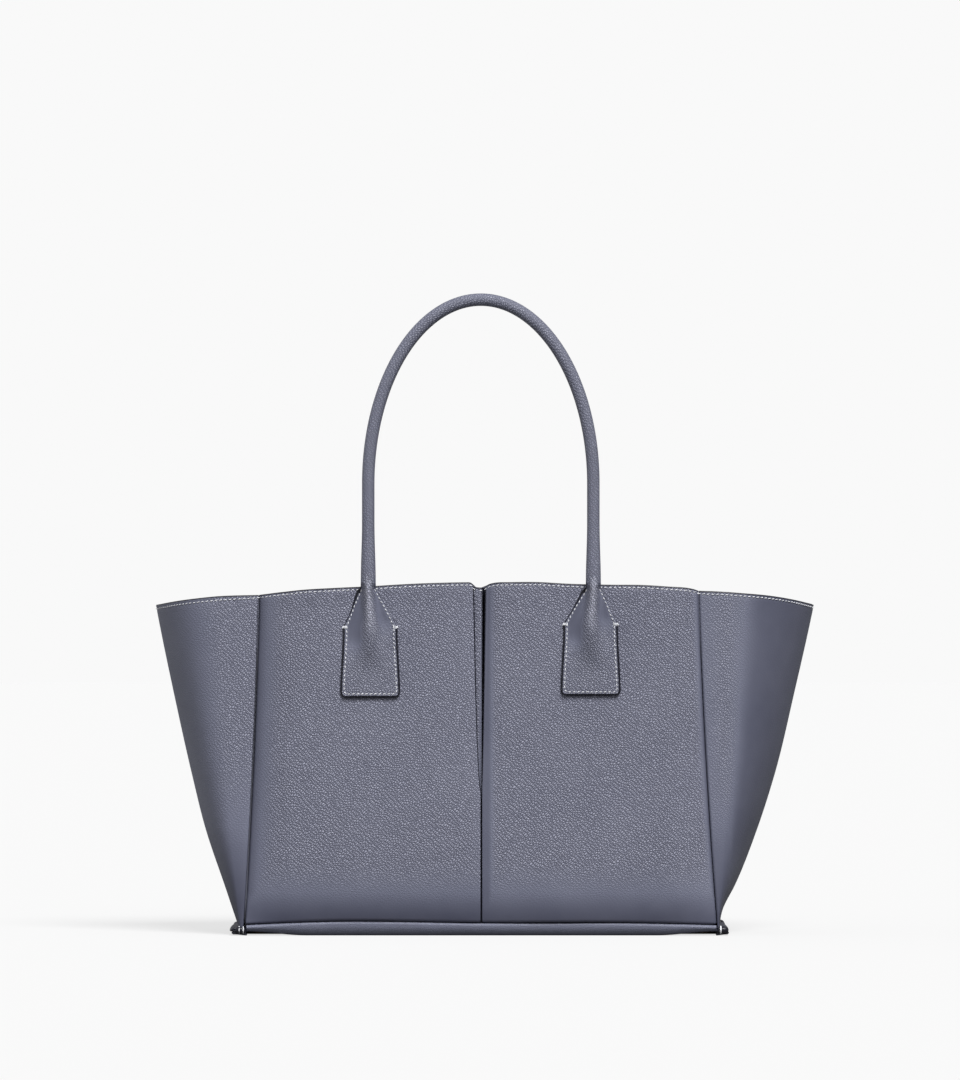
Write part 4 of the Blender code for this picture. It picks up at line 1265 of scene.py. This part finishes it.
def stitch_tree():
    """Threads laid along paths: each is one slanted stitch, its long side along the row."""
    tree = bpy.data.node_groups.new("stitch_row", "GeometryNodeTree")
    tree.interface.new_socket("Paths", in_out="INPUT", socket_type="NodeSocketGeometry")
    for key in ("Pitch", "Length", "Width", "Slant"):
        tree.interface.new_socket(key, in_out="INPUT", socket_type="NodeSocketFloat")
    tree.interface.new_socket("Thread", in_out="INPUT", socket_type="NodeSocketMaterial")
    tree.interface.new_socket("Stitches", in_out="OUTPUT", socket_type="NodeSocketGeometry")
    given = tree.nodes.new("NodeGroupInput").outputs
    curve = add_node(tree, "GeometryNodeMeshToCurve", Mesh=given["Paths"])
    spaced = add_node(tree, "GeometryNodeResampleCurve", {"mode": "LENGTH"},
                      Curve=curve.outputs[0], Length=given["Pitch"])
    segments, rings = BEAD_STEPS
    bead = add_node(tree, "GeometryNodeMeshUVSphere", Segments=segments, Rings=rings, Radius=0.5)
    size = add_node(tree, "ShaderNodeCombineXYZ", X=given["Length"], Y=given["Width"], Z=given["Width"])
    turn = add_node(tree, "ShaderNodeCombineXYZ", Z=given["Slant"])
    lie = add_node(tree, "GeometryNodeTransform", Geometry=bead.outputs["Mesh"], Scale=size.outputs[0])
    slanted = add_node(tree, "GeometryNodeTransform", Geometry=lie.outputs[0], Rotation=turn.outputs[0])
    out = add_node(tree, "GeometryNodeInputNamedAttribute", {"data_type": "FLOAT_VECTOR"}, Name="out")
    tangent = add_node(tree, "GeometryNodeInputTangent")
    along = add_node(tree, "FunctionNodeAlignRotationToVector", {"axis": "X"}, Vector=tangent.outputs[0])
    upright = add_node(tree, "FunctionNodeAlignRotationToVector", {"axis": "Z", "pivot_axis": "X"},
                       Rotation=along.outputs[0], Vector=out.outputs["Attribute"])
    placed = add_node(tree, "GeometryNodeInstanceOnPoints", Points=spaced.outputs[0],
                      Instance=slanted.outputs[0], Rotation=upright.outputs[0])
    real = add_node(tree, "GeometryNodeRealizeInstances", Geometry=placed.outputs[0])
    finished = add_node(tree, "GeometryNodeSetMaterial", Geometry=real.outputs[0], Material=given["Thread"])
    result = tree.nodes.new("NodeGroupOutput")
    tree.links.new(finished.outputs[0], result.inputs[0])
    return tree


def sew(name, paths, tree, thread, pitch=STITCH_PITCH, length=STITCH_LENGTH,
        width=STITCH_WIDTH, slant=STITCH_SLANT_DEG):
    """Stitches along paths of (place, outward direction)."""
    points = []
    outs = []
    edges = []
    for path in paths:
        first = len(points)
        for place, out in path:
            points.append(tuple(place))
            outs += list(out)
        edges += [(index, index + 1) for index in range(first, len(points) - 1)]
    mesh = bpy.data.meshes.new(name)
    mesh.from_pydata(points, edges, [])
    attribute = mesh.attributes.new("out", "FLOAT_VECTOR", "POINT")
    attribute.data.foreach_set("vector", np.array(outs, dtype=np.float32))
    guide = bpy.data.objects.new(name + "_guide", mesh)
    bpy.context.scene.collection.objects.link(guide)
    modifier = guide.modifiers.new("stitches", "NODES")
    modifier.node_group = tree
    values = {"Pitch": pitch, "Length": length, "Width": width, "Slant": math.radians(slant),
              "Thread": thread}
    for item in tree.interface.items_tree:
        if item.name in values and item.in_out == "INPUT":
            modifier[item.identifier] = values[item.name]
    depsgraph = bpy.context.evaluated_depsgraph_get()
    sewn = bpy.data.meshes.new_from_object(guide.evaluated_get(depsgraph))
    bpy.data.objects.remove(guide)
    sewn.name = name
    sewn.shade_smooth()
    piece = bpy.data.objects.new(name, sewn)
    bpy.context.scene.collection.objects.link(piece)
    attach(piece, "root")


def face_normal(place, ahead, hand_turn):
    along = ahead - place
    normal = np.array([along[1], -along[0], 0.0]) * hand_turn
    return normal / max(np.linalg.norm(normal), LEAST_LENGTH)


def row_with_normals(points, hand_turn):
    path = []
    for index, place in enumerate(points):
        first = points[max(index - 1, 0)]
        second = points[min(index + 1, len(points) - 1)]
        out = face_normal(first, second, hand_turn)
        path.append((place + out * STITCH_WIDTH * STITCH_RAISE_SHARE, out))
    return path


def panel_row(side, hand):
    stations = PanelStations()
    high = panel_rim(stations, side, hand)[:, None]
    z = high - RIM_STITCH_DROP
    x, depth = panel_place(stations, z, 0 * z, hand)
    depth = depth + panel_swell(x, z, hand) - stitch_groove(z, high)
    points = np.stack([hand * x, side * depth, z], axis=-1)[ROW_END_STEPS:-ROW_END_STEPS, 0]
    return row_with_normals(points, -side * hand)


def insert_row(side):
    """The row shows between the edges of the pleat only."""
    across = np.linspace(*INSERT_ROW_SHARES, INSERT_ROW_STEPS + 1)
    z = insert_rim(across, side) - RIM_STITCH_DROP
    x, depth = insert_place(across, z)
    return row_with_normals(np.stack([x, side * depth, z], axis=-1), -side)


def wing_row(hand):
    stations = wing_stations()
    high, drop = wing_rim(stations, hand)
    z = high - drop
    x, y = wing_place(*stations, z, 0 * z, hand)
    x = x + wing_swell(stations[0], z, hand)
    points = np.stack([hand * x, y, z], axis=-1)[ROW_END_STEPS:-ROW_END_STEPS, 0]
    return row_with_normals(points, hand)


def facing_row(word):
    inset = FACING_IN + FACING_LEATHER
    z = (layer_rim(word, inset) - RIM_STITCH_DROP)[:, None]
    points = layer_columns(word, z, 0 * z + inset)[1:-1, 0]
    return row_with_normals(points, SIDES[word] if word in SIDES else -HANDS[word])


def rim_rows():
    """Rows along the rim, outside on the leather and inside on the facing."""
    paths = []
    for side in (FRONT, REAR):
        paths += [panel_row(side, LEFT), panel_row(side, RIGHT), insert_row(side)]
    paths += [wing_row(hand) for hand in (LEFT, RIGHT)]
    return paths + [facing_row(word) for word in (*SIDES, *HANDS)]


def tab_rows():
    """Row round each tab, from its neck down one side, along the foot and up the other side."""
    paths = []
    side_steps, foot_steps = TAB_ROW_STEPS
    for side, hand in CORNERS.values():
        foot = TAB_FOOT[hand] + TAB_STITCH_IN
        down = np.linspace(TUBE_BLEND_START, foot + TAB_ROW_TURN, side_steps + 1)
        left = [(float(tab_stitch_in(z, hand) - tab_half(np.array(z), hand)), z) for z in down]
        half = float(tab_half(np.array(foot + TAB_ROW_PROBE), hand)) - TAB_STITCH_IN - TAB_ROW_CORNER
        along = [(x, foot) for x in np.linspace(-half, half, foot_steps + 1)]
        right = [(-x, z) for x, z in reversed(left)]
        path = []
        for across, z in left + along + right:
            place, out = tab_surface(across, z, hand, side)
            path.append((place + out * STITCH_WIDTH * TAB_STITCH_RAISE_SHARE, out))
        paths.append(path)
    return paths


def tab_surface(across, z, hand, side):
    """Place and outward direction on a tab's front."""
    centre = float(tab_middle(z, hand, side))

    def depth(offset, height):
        skin = panel_skin(np.abs(centre + offset), np.array(height), hand)
        return float(skin + LAYER_GAP + tab_front(np.array(offset), np.array(height), hand))

    slope_x = (depth(across + SLOPE_STEP, z) - depth(across - SLOPE_STEP, z)) / (2 * SLOPE_STEP)
    slope_z = (depth(across, z + SLOPE_STEP) - depth(across, z - SLOPE_STEP)) / (2 * SLOPE_STEP)
    out = np.array([-slope_x, side, -slope_z])
    place = np.array([centre + across, side * depth(across, z), z])
    return place, out / np.linalg.norm(out)


def bar_tacks():
    """Short heavy threads over the edge at each shoulder."""
    paths = []
    for side, hand in CORNERS.values():
        z = TAB_SHOULDER[hand]
        half = float(tab_half(np.array(z), hand))
        for end in (LEFT, RIGHT):
            surface = [tab_surface(end * (half - place), z, hand, side) for place in TACK_PLACES]
            paths.append([(place + out * TACK_RAISE, out) for place, out in surface])
    return paths


# Materials, with colours in 8-bit channels

# The third colour of each leather is the darker colour its flattened places turn to: painted shade. deep is
# the colour of the grain's valleys and of deeper painted shade.
LEATHERS = {
    "slate_leather": {"colour": (156, 158, 176), "deep": (36, 39, 61), "smooth_shade": (100, 103, 121),
                      "pitch": 0.00131, "stretch": 1.9, "bump": 0.00036, "roughness": 0.48},
    "handle_leather": {"colour": (153, 155, 172), "deep": (36, 39, 61), "smooth_shade": (98, 101, 119),
                       "pitch": 0.00128, "stretch": 1.8, "bump": 0.00034, "roughness": 0.46},
    "facing_leather": {"colour": (104, 106, 121), "deep": (84, 86, 101), "smooth_shade": (93, 95, 110),
                       "pitch": 0.0012, "stretch": 1.2, "bump": 0.00014, "roughness": 0.58},
}
FIBRES = {
    "base_board": {"colour": (122, 104, 84), "size": 0.0012},
    "cord_filler": {"colour": (206, 200, 188), "size": 0.0008},
    "backing_board": {"colour": (98, 94, 92), "size": 0.0010},
}
# Colour of the painted cut edges, also laid as painted shadow in the pleat slots, on the crease and pleat
# rolls and beside the necks
EDGE_PAINT_AND_SHADOW = (20, 21, 32)
EDGE_PAINT_LIFT = 14
THREAD_TONES = ((222, 224, 231), (248, 249, 251))
CLOTH_TONES = ((74, 76, 88), (98, 100, 112))
CLOTH_CLOUD = (104, 106, 118)
# Lift of the painted highlight on the neck crests
CREST_PAINTED_HIGHLIGHT_LIFT = 66
CLOUD_LIFT = 6
FIBRE_SHADE_SHARE = 0.8
EDGE_PAINT_RIPPLE_SCALE = 420.0
THREAD_TWIST_SCALE = 900.0
CLOTH_PITCH = 0.0009
CLOTH_SHARE = 0.6
CLOTH_CLOUD_SHARE = 0.2
CLOTH_CLOUD_SIZE = 0.04
EDGE_PAINT_ROUGHNESS = 0.42
THREAD_ROUGHNESS = 0.62
CLOTH_ROUGHNESS = 0.85
FIBRE_ROUGHNESS = 0.88

# Reliefs as (strength, depth)
EDGE_PAINT_RELIEF = (0.5, 0.0001)
THREAD_RELIEF = (0.6, 0.00008)
CLOTH_RELIEF = (0.7, 0.00012)
FIBRE_RELIEF = (0.6, 0.0002)

GRAIN_SLANT = math.radians(-45)
GRAIN_WANDER = 0.0020
GRAIN_WANDER_SCALE = 90.0
GRAIN_RANDOM_SHARE = 0.76
PEBBLE_EDGE_SHARE = 0.02
PEBBLE_TOP_SHARE = 0.42
FINE_PEBBLE_SHARE = 2.1
FINE_PEBBLE_RELIEF_SHARE = 0.22
CALM_RELIEF_SHARE = 0.62
VALLEY_SHARE = 0.85
CLOUD_SHARE = 0.22
CLOUD_SIZE = 0.06
VALLEY_MATT_SHARE = 0.16
PEBBLE_GLOSS_SHARE = 0.06


def linear(colour, lift=0):
    """Colour for a shader, made lighter by some steps of 255."""
    return tuple(((channel + lift) / 255) ** 2.2 for channel in colour) + (1.0,)


def object_place(tree):
    return add_node(tree, "ShaderNodeTexCoord").outputs["Object"]


def new_group(name, inputs, outputs):
    tree = bpy.data.node_groups.new(name, "ShaderNodeTree")
    for key, default in inputs.items():
        if key == "Place":
            tree.interface.new_socket(key, in_out="INPUT", socket_type="NodeSocketVector")
            continue
        socket = tree.interface.new_socket(key, in_out="INPUT", socket_type="NodeSocketFloat")
        socket.default_value = default
    for key in outputs:
        tree.interface.new_socket(key, in_out="OUTPUT", socket_type="NodeSocketFloat")
    return tree, tree.nodes.new("NodeGroupInput").outputs, tree.nodes.new("NodeGroupOutput").inputs


def arithmetic(tree, operation, first, second=0.0, clamp=False):
    made = add_node(tree, "ShaderNodeMath", {"operation": operation, "use_clamp": clamp})
    for socket, value in zip(made.inputs, (first, second)):
        if isinstance(value, bpy.types.NodeSocket):
            tree.links.new(value, socket)
        else:
            socket.default_value = value
    return made.outputs[0]


def pebbled_grain():
    """Leather grain: long pebbles that run down to the right, with fine valleys between them."""
    tree, given, result = new_group(
        "pebbled_grain",
        {"Place": None, "Pitch": 0.0016, "Stretch": 1.8, "Slant": GRAIN_SLANT, "Calm": 0.0},
        ("Height", "Valley"))
    place = given["Place"]
    wander = add_node(tree, "ShaderNodeTexNoise", Vector=place, Scale=GRAIN_WANDER_SCALE, Detail=1.0)
    shake = add_node(tree, "ShaderNodeVectorMath", {"operation": "MULTIPLY_ADD"},
                     _0=wander.outputs["Color"], _1=(GRAIN_WANDER, GRAIN_WANDER, 0.0), _2=place)
    turned = add_node(tree, "ShaderNodeVectorRotate", {"rotation_type": "Z_AXIS"},
                      Vector=shake.outputs[0], Angle=given["Slant"])
    long_way = arithmetic(tree, "DIVIDE", 1.0, given["Stretch"])
    shape = add_node(tree, "ShaderNodeCombineXYZ", X=long_way, Y=1.0, Z=1.0)
    stretched = add_node(tree, "ShaderNodeVectorMath", {"operation": "MULTIPLY"},
                         _0=turned.outputs[0], _1=shape.outputs[0])
    count = arithmetic(tree, "DIVIDE", 1.0, given["Pitch"])
    pebbles = add_node(tree, "ShaderNodeTexVoronoi",
                       {"feature": "DISTANCE_TO_EDGE", "voronoi_dimensions": "2D"},
                       Vector=stretched.outputs[0], Scale=count, Randomness=GRAIN_RANDOM_SHARE)
    dome = add_node(tree, "ShaderNodeMapRange", {"interpolation_type": "SMOOTHSTEP"},
                    Value=pebbles.outputs["Distance"], _1=PEBBLE_EDGE_SHARE, _2=PEBBLE_TOP_SHARE,
                    _3=0.0, _4=1.0)
    finer = arithmetic(tree, "MULTIPLY", count, FINE_PEBBLE_SHARE)
    small = add_node(tree, "ShaderNodeTexVoronoi", {"feature": "F1", "voronoi_dimensions": "2D"},
                     Vector=stretched.outputs[0], Scale=finer)
    small_dome = arithmetic(tree, "MULTIPLY", small.outputs["Distance"], -FINE_PEBBLE_RELIEF_SHARE)
    height = arithmetic(tree, "ADD", dome.outputs[0], small_dome)
    settled = arithmetic(tree, "MULTIPLY", given["Calm"], CALM_RELIEF_SHARE)
    kept = arithmetic(tree, "SUBTRACT", 1.0, settled, clamp=True)
    calm_height = arithmetic(tree, "MULTIPLY", height, kept)
    valley = arithmetic(tree, "SUBTRACT", 1.0, dome.outputs[0])
    tree.links.new(calm_height, result["Height"])
    tree.links.new(valley, result["Valley"])
    return tree


def cloudy_tone():
    """Slow variation of a dyed hide, between 0 and 1."""
    tree, given, result = new_group("cloudy_tone", {"Size": 0.05}, ("Tone",))
    place = object_place(tree)
    scale = arithmetic(tree, "DIVIDE", 1.0, given["Size"])
    clouds = add_node(tree, "ShaderNodeTexNoise", Vector=place, Scale=scale, Detail=3.0, Roughness=0.6)
    tree.links.new(clouds.outputs["Fac"], result["Tone"])
    return tree


def twill_weave():
    """Fine diagonal weave of the lining."""
    tree, given, result = new_group("twill_weave", {"Pitch": CLOTH_PITCH}, ("Height", "Tone"))
    place = object_place(tree)
    count = arithmetic(tree, "DIVIDE", 1.0, given["Pitch"])
    sized = add_node(tree, "ShaderNodeVectorMath", {"operation": "SCALE"}, _0=place, Scale=count)
    split = add_node(tree, "ShaderNodeSeparateXYZ", Vector=sized.outputs[0])
    level = arithmetic(tree, "ADD", split.outputs[0], split.outputs[1])
    warp = arithmetic(tree, "SINE", arithmetic(tree, "MULTIPLY", level, math.tau))
    rise = arithmetic(tree, "ADD", arithmetic(tree, "MULTIPLY", level, 0.5), split.outputs[2])
    weft = arithmetic(tree, "SINE", arithmetic(tree, "MULTIPLY", rise, math.tau))
    both = arithmetic(tree, "MULTIPLY", warp, weft)
    height = arithmetic(tree, "MULTIPLY", arithmetic(tree, "ADD", both, 1.0), 0.5)
    tree.links.new(height, result["Height"])
    tree.links.new(height, result["Tone"])
    return tree


def principled(name, roughness, **settings):
    material = bpy.data.materials.new(name)
    material.use_nodes = True
    shader = material.node_tree.nodes["Principled BSDF"]
    shader.inputs["Roughness"].default_value = roughness
    for key, value in settings.items():
        shader.inputs[key.replace("_", " ")].default_value = value
    return material, material.node_tree, shader


def place_group(tree, group, **inputs):
    return add_node(tree, "ShaderNodeGroup", {"node_tree": group}, **inputs).outputs


def blend_colours(tree, share, first, second):
    made = add_node(tree, "ShaderNodeMix", {"data_type": "RGBA"}, _0=share, _6=first, _7=second)
    return made.outputs[2]


def add_relief(tree, shader, height, strength, depth):
    bump = add_node(tree, "ShaderNodeBump", Strength=strength, Distance=depth, Height=height)
    tree.links.new(bump.outputs[0], shader.inputs["Normal"])


def leather_material(name, grain, tone, colour, deep, smooth_shade, pitch, stretch, bump, roughness):
    """Grained leather. Where the calm attribute rises, the grain flattens and the colour darkens towards
    the smooth_shade colour, and above 1 on towards the deep one, as painted shade; below 0 it turns paler
    as a painted highlight.
    """
    material, tree, shader = principled(name, roughness, Specular_IOR_Level=0.5)
    calm = add_node(tree, "ShaderNodeAttribute", {"attribute_name": "calm"}).outputs["Fac"]
    hide = add_node(tree, "ShaderNodeAttribute", {"attribute_name": "hide"}).outputs["Vector"]
    pebbles = place_group(tree, grain, Place=hide, Pitch=pitch, Stretch=stretch, Calm=calm)
    clouds = place_group(tree, tone, Size=CLOUD_SIZE)
    # Below 0 the pebble tops turn paler: a painted highlight
    painted_highlight = arithmetic(tree, "MULTIPLY", calm, -1.0, clamp=True)
    pebble_top = blend_colours(tree, painted_highlight, linear(colour), linear(colour, CREST_PAINTED_HIGHLIGHT_LIFT))
    valley = arithmetic(tree, "MULTIPLY", pebbles["Valley"], VALLEY_SHARE)
    skin = blend_colours(tree, valley, pebble_top, linear(deep))
    # From 0 to 1 the colour turns to the darker third colour: painted shade
    settled = arithmetic(tree, "ADD", calm, 0.0, clamp=True)
    skin = blend_colours(tree, settled, skin, linear(smooth_shade))
    # Above 1 it goes on towards the deep colour: deeper painted shade
    deeper_painted_shade = arithmetic(tree, "SUBTRACT", calm, 1.0, clamp=True)
    skin = blend_colours(tree, deeper_painted_shade, skin, linear(deep))
    cloudy = arithmetic(tree, "MULTIPLY", clouds["Tone"], CLOUD_SHARE)
    shaded = blend_colours(tree, cloudy, skin, linear(colour, CLOUD_LIFT))
    tree.links.new(shaded, shader.inputs["Base Color"])
    matt = arithmetic(tree, "MULTIPLY", pebbles["Valley"], VALLEY_MATT_SHARE)
    gloss = arithmetic(tree, "ADD", matt, roughness - PEBBLE_GLOSS_SHARE)
    tree.links.new(gloss, shader.inputs["Roughness"])
    add_relief(tree, shader, pebbles["Height"], 1.0, bump)
    return material


def paint_material():
    material, tree, shader = principled("edge_paint", EDGE_PAINT_ROUGHNESS, Specular_IOR_Level=0.5)
    ripple = add_node(tree, "ShaderNodeTexNoise", Vector=object_place(tree),
                      Scale=EDGE_PAINT_RIPPLE_SCALE, Detail=2.0)
    tint = blend_colours(tree, ripple.outputs["Fac"], linear(EDGE_PAINT_AND_SHADOW),
                         linear(EDGE_PAINT_AND_SHADOW, EDGE_PAINT_LIFT))
    tree.links.new(tint, shader.inputs["Base Color"])
    add_relief(tree, shader, ripple.outputs["Fac"], *EDGE_PAINT_RELIEF)
    return material


def thread_material():
    material, tree, shader = principled("thread", THREAD_ROUGHNESS, Sheen_Weight=0.2)
    twist = add_node(tree, "ShaderNodeTexWave", {"wave_type": "BANDS", "bands_direction": "DIAGONAL"},
                     Vector=object_place(tree), Scale=THREAD_TWIST_SCALE, Distortion=1.0)
    tint = blend_colours(tree, twist.outputs["Fac"], *(linear(colour) for colour in THREAD_TONES))
    tree.links.new(tint, shader.inputs["Base Color"])
    add_relief(tree, shader, twist.outputs["Fac"], *THREAD_RELIEF)
    return material


def cloth_material(weave, tone):
    material, tree, shader = principled("lining_cloth", CLOTH_ROUGHNESS, Sheen_Weight=0.25)
    threads = place_group(tree, weave)
    clouds = place_group(tree, tone, Size=CLOTH_CLOUD_SIZE)
    share = arithmetic(tree, "MULTIPLY", threads["Tone"], CLOTH_SHARE)
    woven = blend_colours(tree, share, *(linear(colour) for colour in CLOTH_TONES))
    cloudy = arithmetic(tree, "MULTIPLY", clouds["Tone"], CLOTH_CLOUD_SHARE)
    shaded = blend_colours(tree, cloudy, woven, linear(CLOTH_CLOUD))
    tree.links.new(shaded, shader.inputs["Base Color"])
    add_relief(tree, shader, threads["Height"], *CLOTH_RELIEF)
    return material


def fibre_material(name, colour, size):
    """Pressed board or twisted cord: short fibres in two tones."""
    material, tree, shader = principled(name, FIBRE_ROUGHNESS)
    fibres = add_node(tree, "ShaderNodeTexNoise", Vector=object_place(tree), Scale=1 / size,
                      Detail=5.0, Roughness=0.7)
    shade = tuple(int(channel * FIBRE_SHADE_SHARE) for channel in colour)
    tint = blend_colours(tree, fibres.outputs["Fac"], linear(colour), linear(shade))
    tree.links.new(tint, shader.inputs["Base Color"])
    add_relief(tree, shader, fibres.outputs["Fac"], *FIBRE_RELIEF)
    return material


# Studio

CAMERA_DISTANCE = 8.0
CAMERA_REACH = 100.0
FRONT_PLANE = -0.080
PICTURE_HEIGHT = 0.810
PICTURE_CENTRE = (-0.0011, 0.297)
SENSOR = 36.0
PALE = 0.947
WORLD_LIGHT = 0.38
WORLD_LEAN = 0.24
SUN_AZIMUTH_DEG = 20
SUN_ELEVATION_DEG = 50
SUN_SPREAD_DEG = 28
SUN_STRENGTH = 3.6
FLOOR_REACH = 14.0
FLOOR_MATT = 0.20
FLOOR_GLOW = 0.700


def make_camera():
    data = bpy.data.cameras.new("camera")
    data.sensor_width = SENSOR
    data.lens = SENSOR * CAMERA_DISTANCE / PICTURE_HEIGHT
    data.clip_end = CAMERA_REACH
    camera = bpy.data.objects.new("camera", data)
    camera.location = (PICTURE_CENTRE[0], FRONT_PLANE - CAMERA_DISTANCE, PICTURE_CENTRE[1])
    camera.rotation_euler = (math.pi / 2, 0, 0)
    bpy.context.scene.collection.objects.link(camera)
    bpy.context.scene.camera = camera


def make_sun():
    """Soft lamp far away. Azimuth 0 shines from the front, 90 from the right."""
    data = bpy.data.lights.new("key", "SUN")
    data.energy = SUN_STRENGTH
    data.angle = math.radians(SUN_SPREAD_DEG)
    lamp = bpy.data.objects.new("key", data)
    lamp.rotation_euler = (math.radians(90 - SUN_ELEVATION_DEG), 0, math.radians(SUN_AZIMUTH_DEG))
    bpy.context.scene.collection.objects.link(lamp)


def make_world():
    """Even light, a little stronger from the left, before a pale backdrop."""
    world = bpy.data.worlds.new("studio")
    bpy.context.scene.world = world
    world.use_nodes = True
    tree = world.node_tree
    tree.nodes.clear()
    path = add_node(tree, "ShaderNodeLightPath").outputs
    seen = arithmetic(tree, "MAXIMUM", path["Is Camera Ray"], path["Is Transmission Ray"])
    direction = add_node(tree, "ShaderNodeTexCoord").outputs["Generated"]
    towards = add_node(tree, "ShaderNodeSeparateXYZ", Vector=direction)
    lean = arithmetic(tree, "MULTIPLY", towards.outputs[0], WORLD_LEAN)
    level = arithmetic(tree, "SUBTRACT", WORLD_LIGHT, lean)
    lit = add_node(tree, "ShaderNodeBackground", Color=(1, 1, 1, 1), Strength=level)
    pale = add_node(tree, "ShaderNodeBackground", Color=(PALE, PALE, PALE, 1), Strength=1.0)
    mixed = add_node(tree, "ShaderNodeMixShader", _0=seen, _1=lit.outputs[0], _2=pale.outputs[0])
    result = tree.nodes.new("ShaderNodeOutputWorld")
    tree.links.new(mixed.outputs[0], result.inputs[0])


def make_floor():
    """Pale floor that fades into the backdrop and still takes the bag's shadow."""
    material = bpy.data.materials.new("studio_floor")
    material.use_nodes = True
    tree = material.node_tree
    tree.nodes.clear()
    path = add_node(tree, "ShaderNodeLightPath").outputs
    matt = add_node(tree, "ShaderNodeBsdfDiffuse", Color=(FLOOR_MATT, FLOOR_MATT, FLOOR_MATT, 1))
    glow = add_node(tree, "ShaderNodeEmission", Color=(1, 1, 1, 1),
                    Strength=arithmetic(tree, "MULTIPLY", path["Is Camera Ray"], FLOOR_GLOW))
    both = add_node(tree, "ShaderNodeAddShader", _0=matt.outputs[0], _1=glow.outputs[0])
    result = tree.nodes.new("ShaderNodeOutputMaterial")
    tree.links.new(both.outputs[0], result.inputs[0])
    mesh = bpy.data.meshes.new("floor")
    corners = [(x * FLOOR_REACH, y * FLOOR_REACH, 0) for x, y in ((-1, -1), (1, -1), (1, 1), (-1, 1))]
    mesh.from_pydata(corners, [], [(0, 1, 2, 3)])
    mesh.materials.append(material)
    floor = bpy.data.objects.new("floor", mesh)
    bpy.context.scene.collection.objects.link(floor)


def sew_rows(thread):
    tree = stitch_tree()
    sew("rim_stitches", rim_rows(), tree, thread)
    sew("tab_stitches", tab_rows(), tree, thread, TAB_STITCH_PITCH, TAB_STITCH_LENGTH)
    sew("shoulder_bar_tacks", bar_tacks(), tree, thread, TACK_PITCH, TACK_LENGTH, TACK_WIDTH,
        TACK_SLANT_DEG)


def main():
    bpy.context.scene.view_settings.view_transform = "Standard"
    make_camera()
    make_world()
    make_sun()
    make_floor()

    grain = pebbled_grain()
    tone = cloudy_tone()
    leather, handle, facing = (leather_material(name, grain, tone, **finish)
                               for name, finish in LEATHERS.items())
    edge_paint = paint_material()
    thread = thread_material()
    cloth = cloth_material(twill_weave(), tone)
    board, filler, backing = (fibre_material(name, **finish) for name, finish in FIBRES.items())

    make_panels(leather, edge_paint)
    make_inserts(leather, edge_paint)
    make_gussets(leather, edge_paint)
    make_layer("facing", FACING_IN, FACING_LEATHER, lambda rim: rim - FACING_HEIGHT,
               lambda rim: rim - FACING_TOP_GAP, FACING_WALL_STEPS, [facing, edge_paint])
    make_layer("lining", LINING_IN, LINING_CLOTH, lambda rim: 0 * rim + FLOOR_LINING_TOP + LAYER_GAP,
               lambda rim: rim - FACING_HEIGHT - LAYER_GAP, LAYER_WALL_STEPS, [cloth, cloth])
    make_floor_lining(cloth)
    make_backings(backing)
    make_base(leather)
    make_base_flanges(leather, edge_paint)
    make_ears(edge_paint, thread)
    make_handles(handle, edge_paint)
    make_cords(filler)
    sew_rows(thread)

    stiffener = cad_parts["base_board"].data
    stiffener.materials.clear()
    stiffener.materials.append(board)


main()
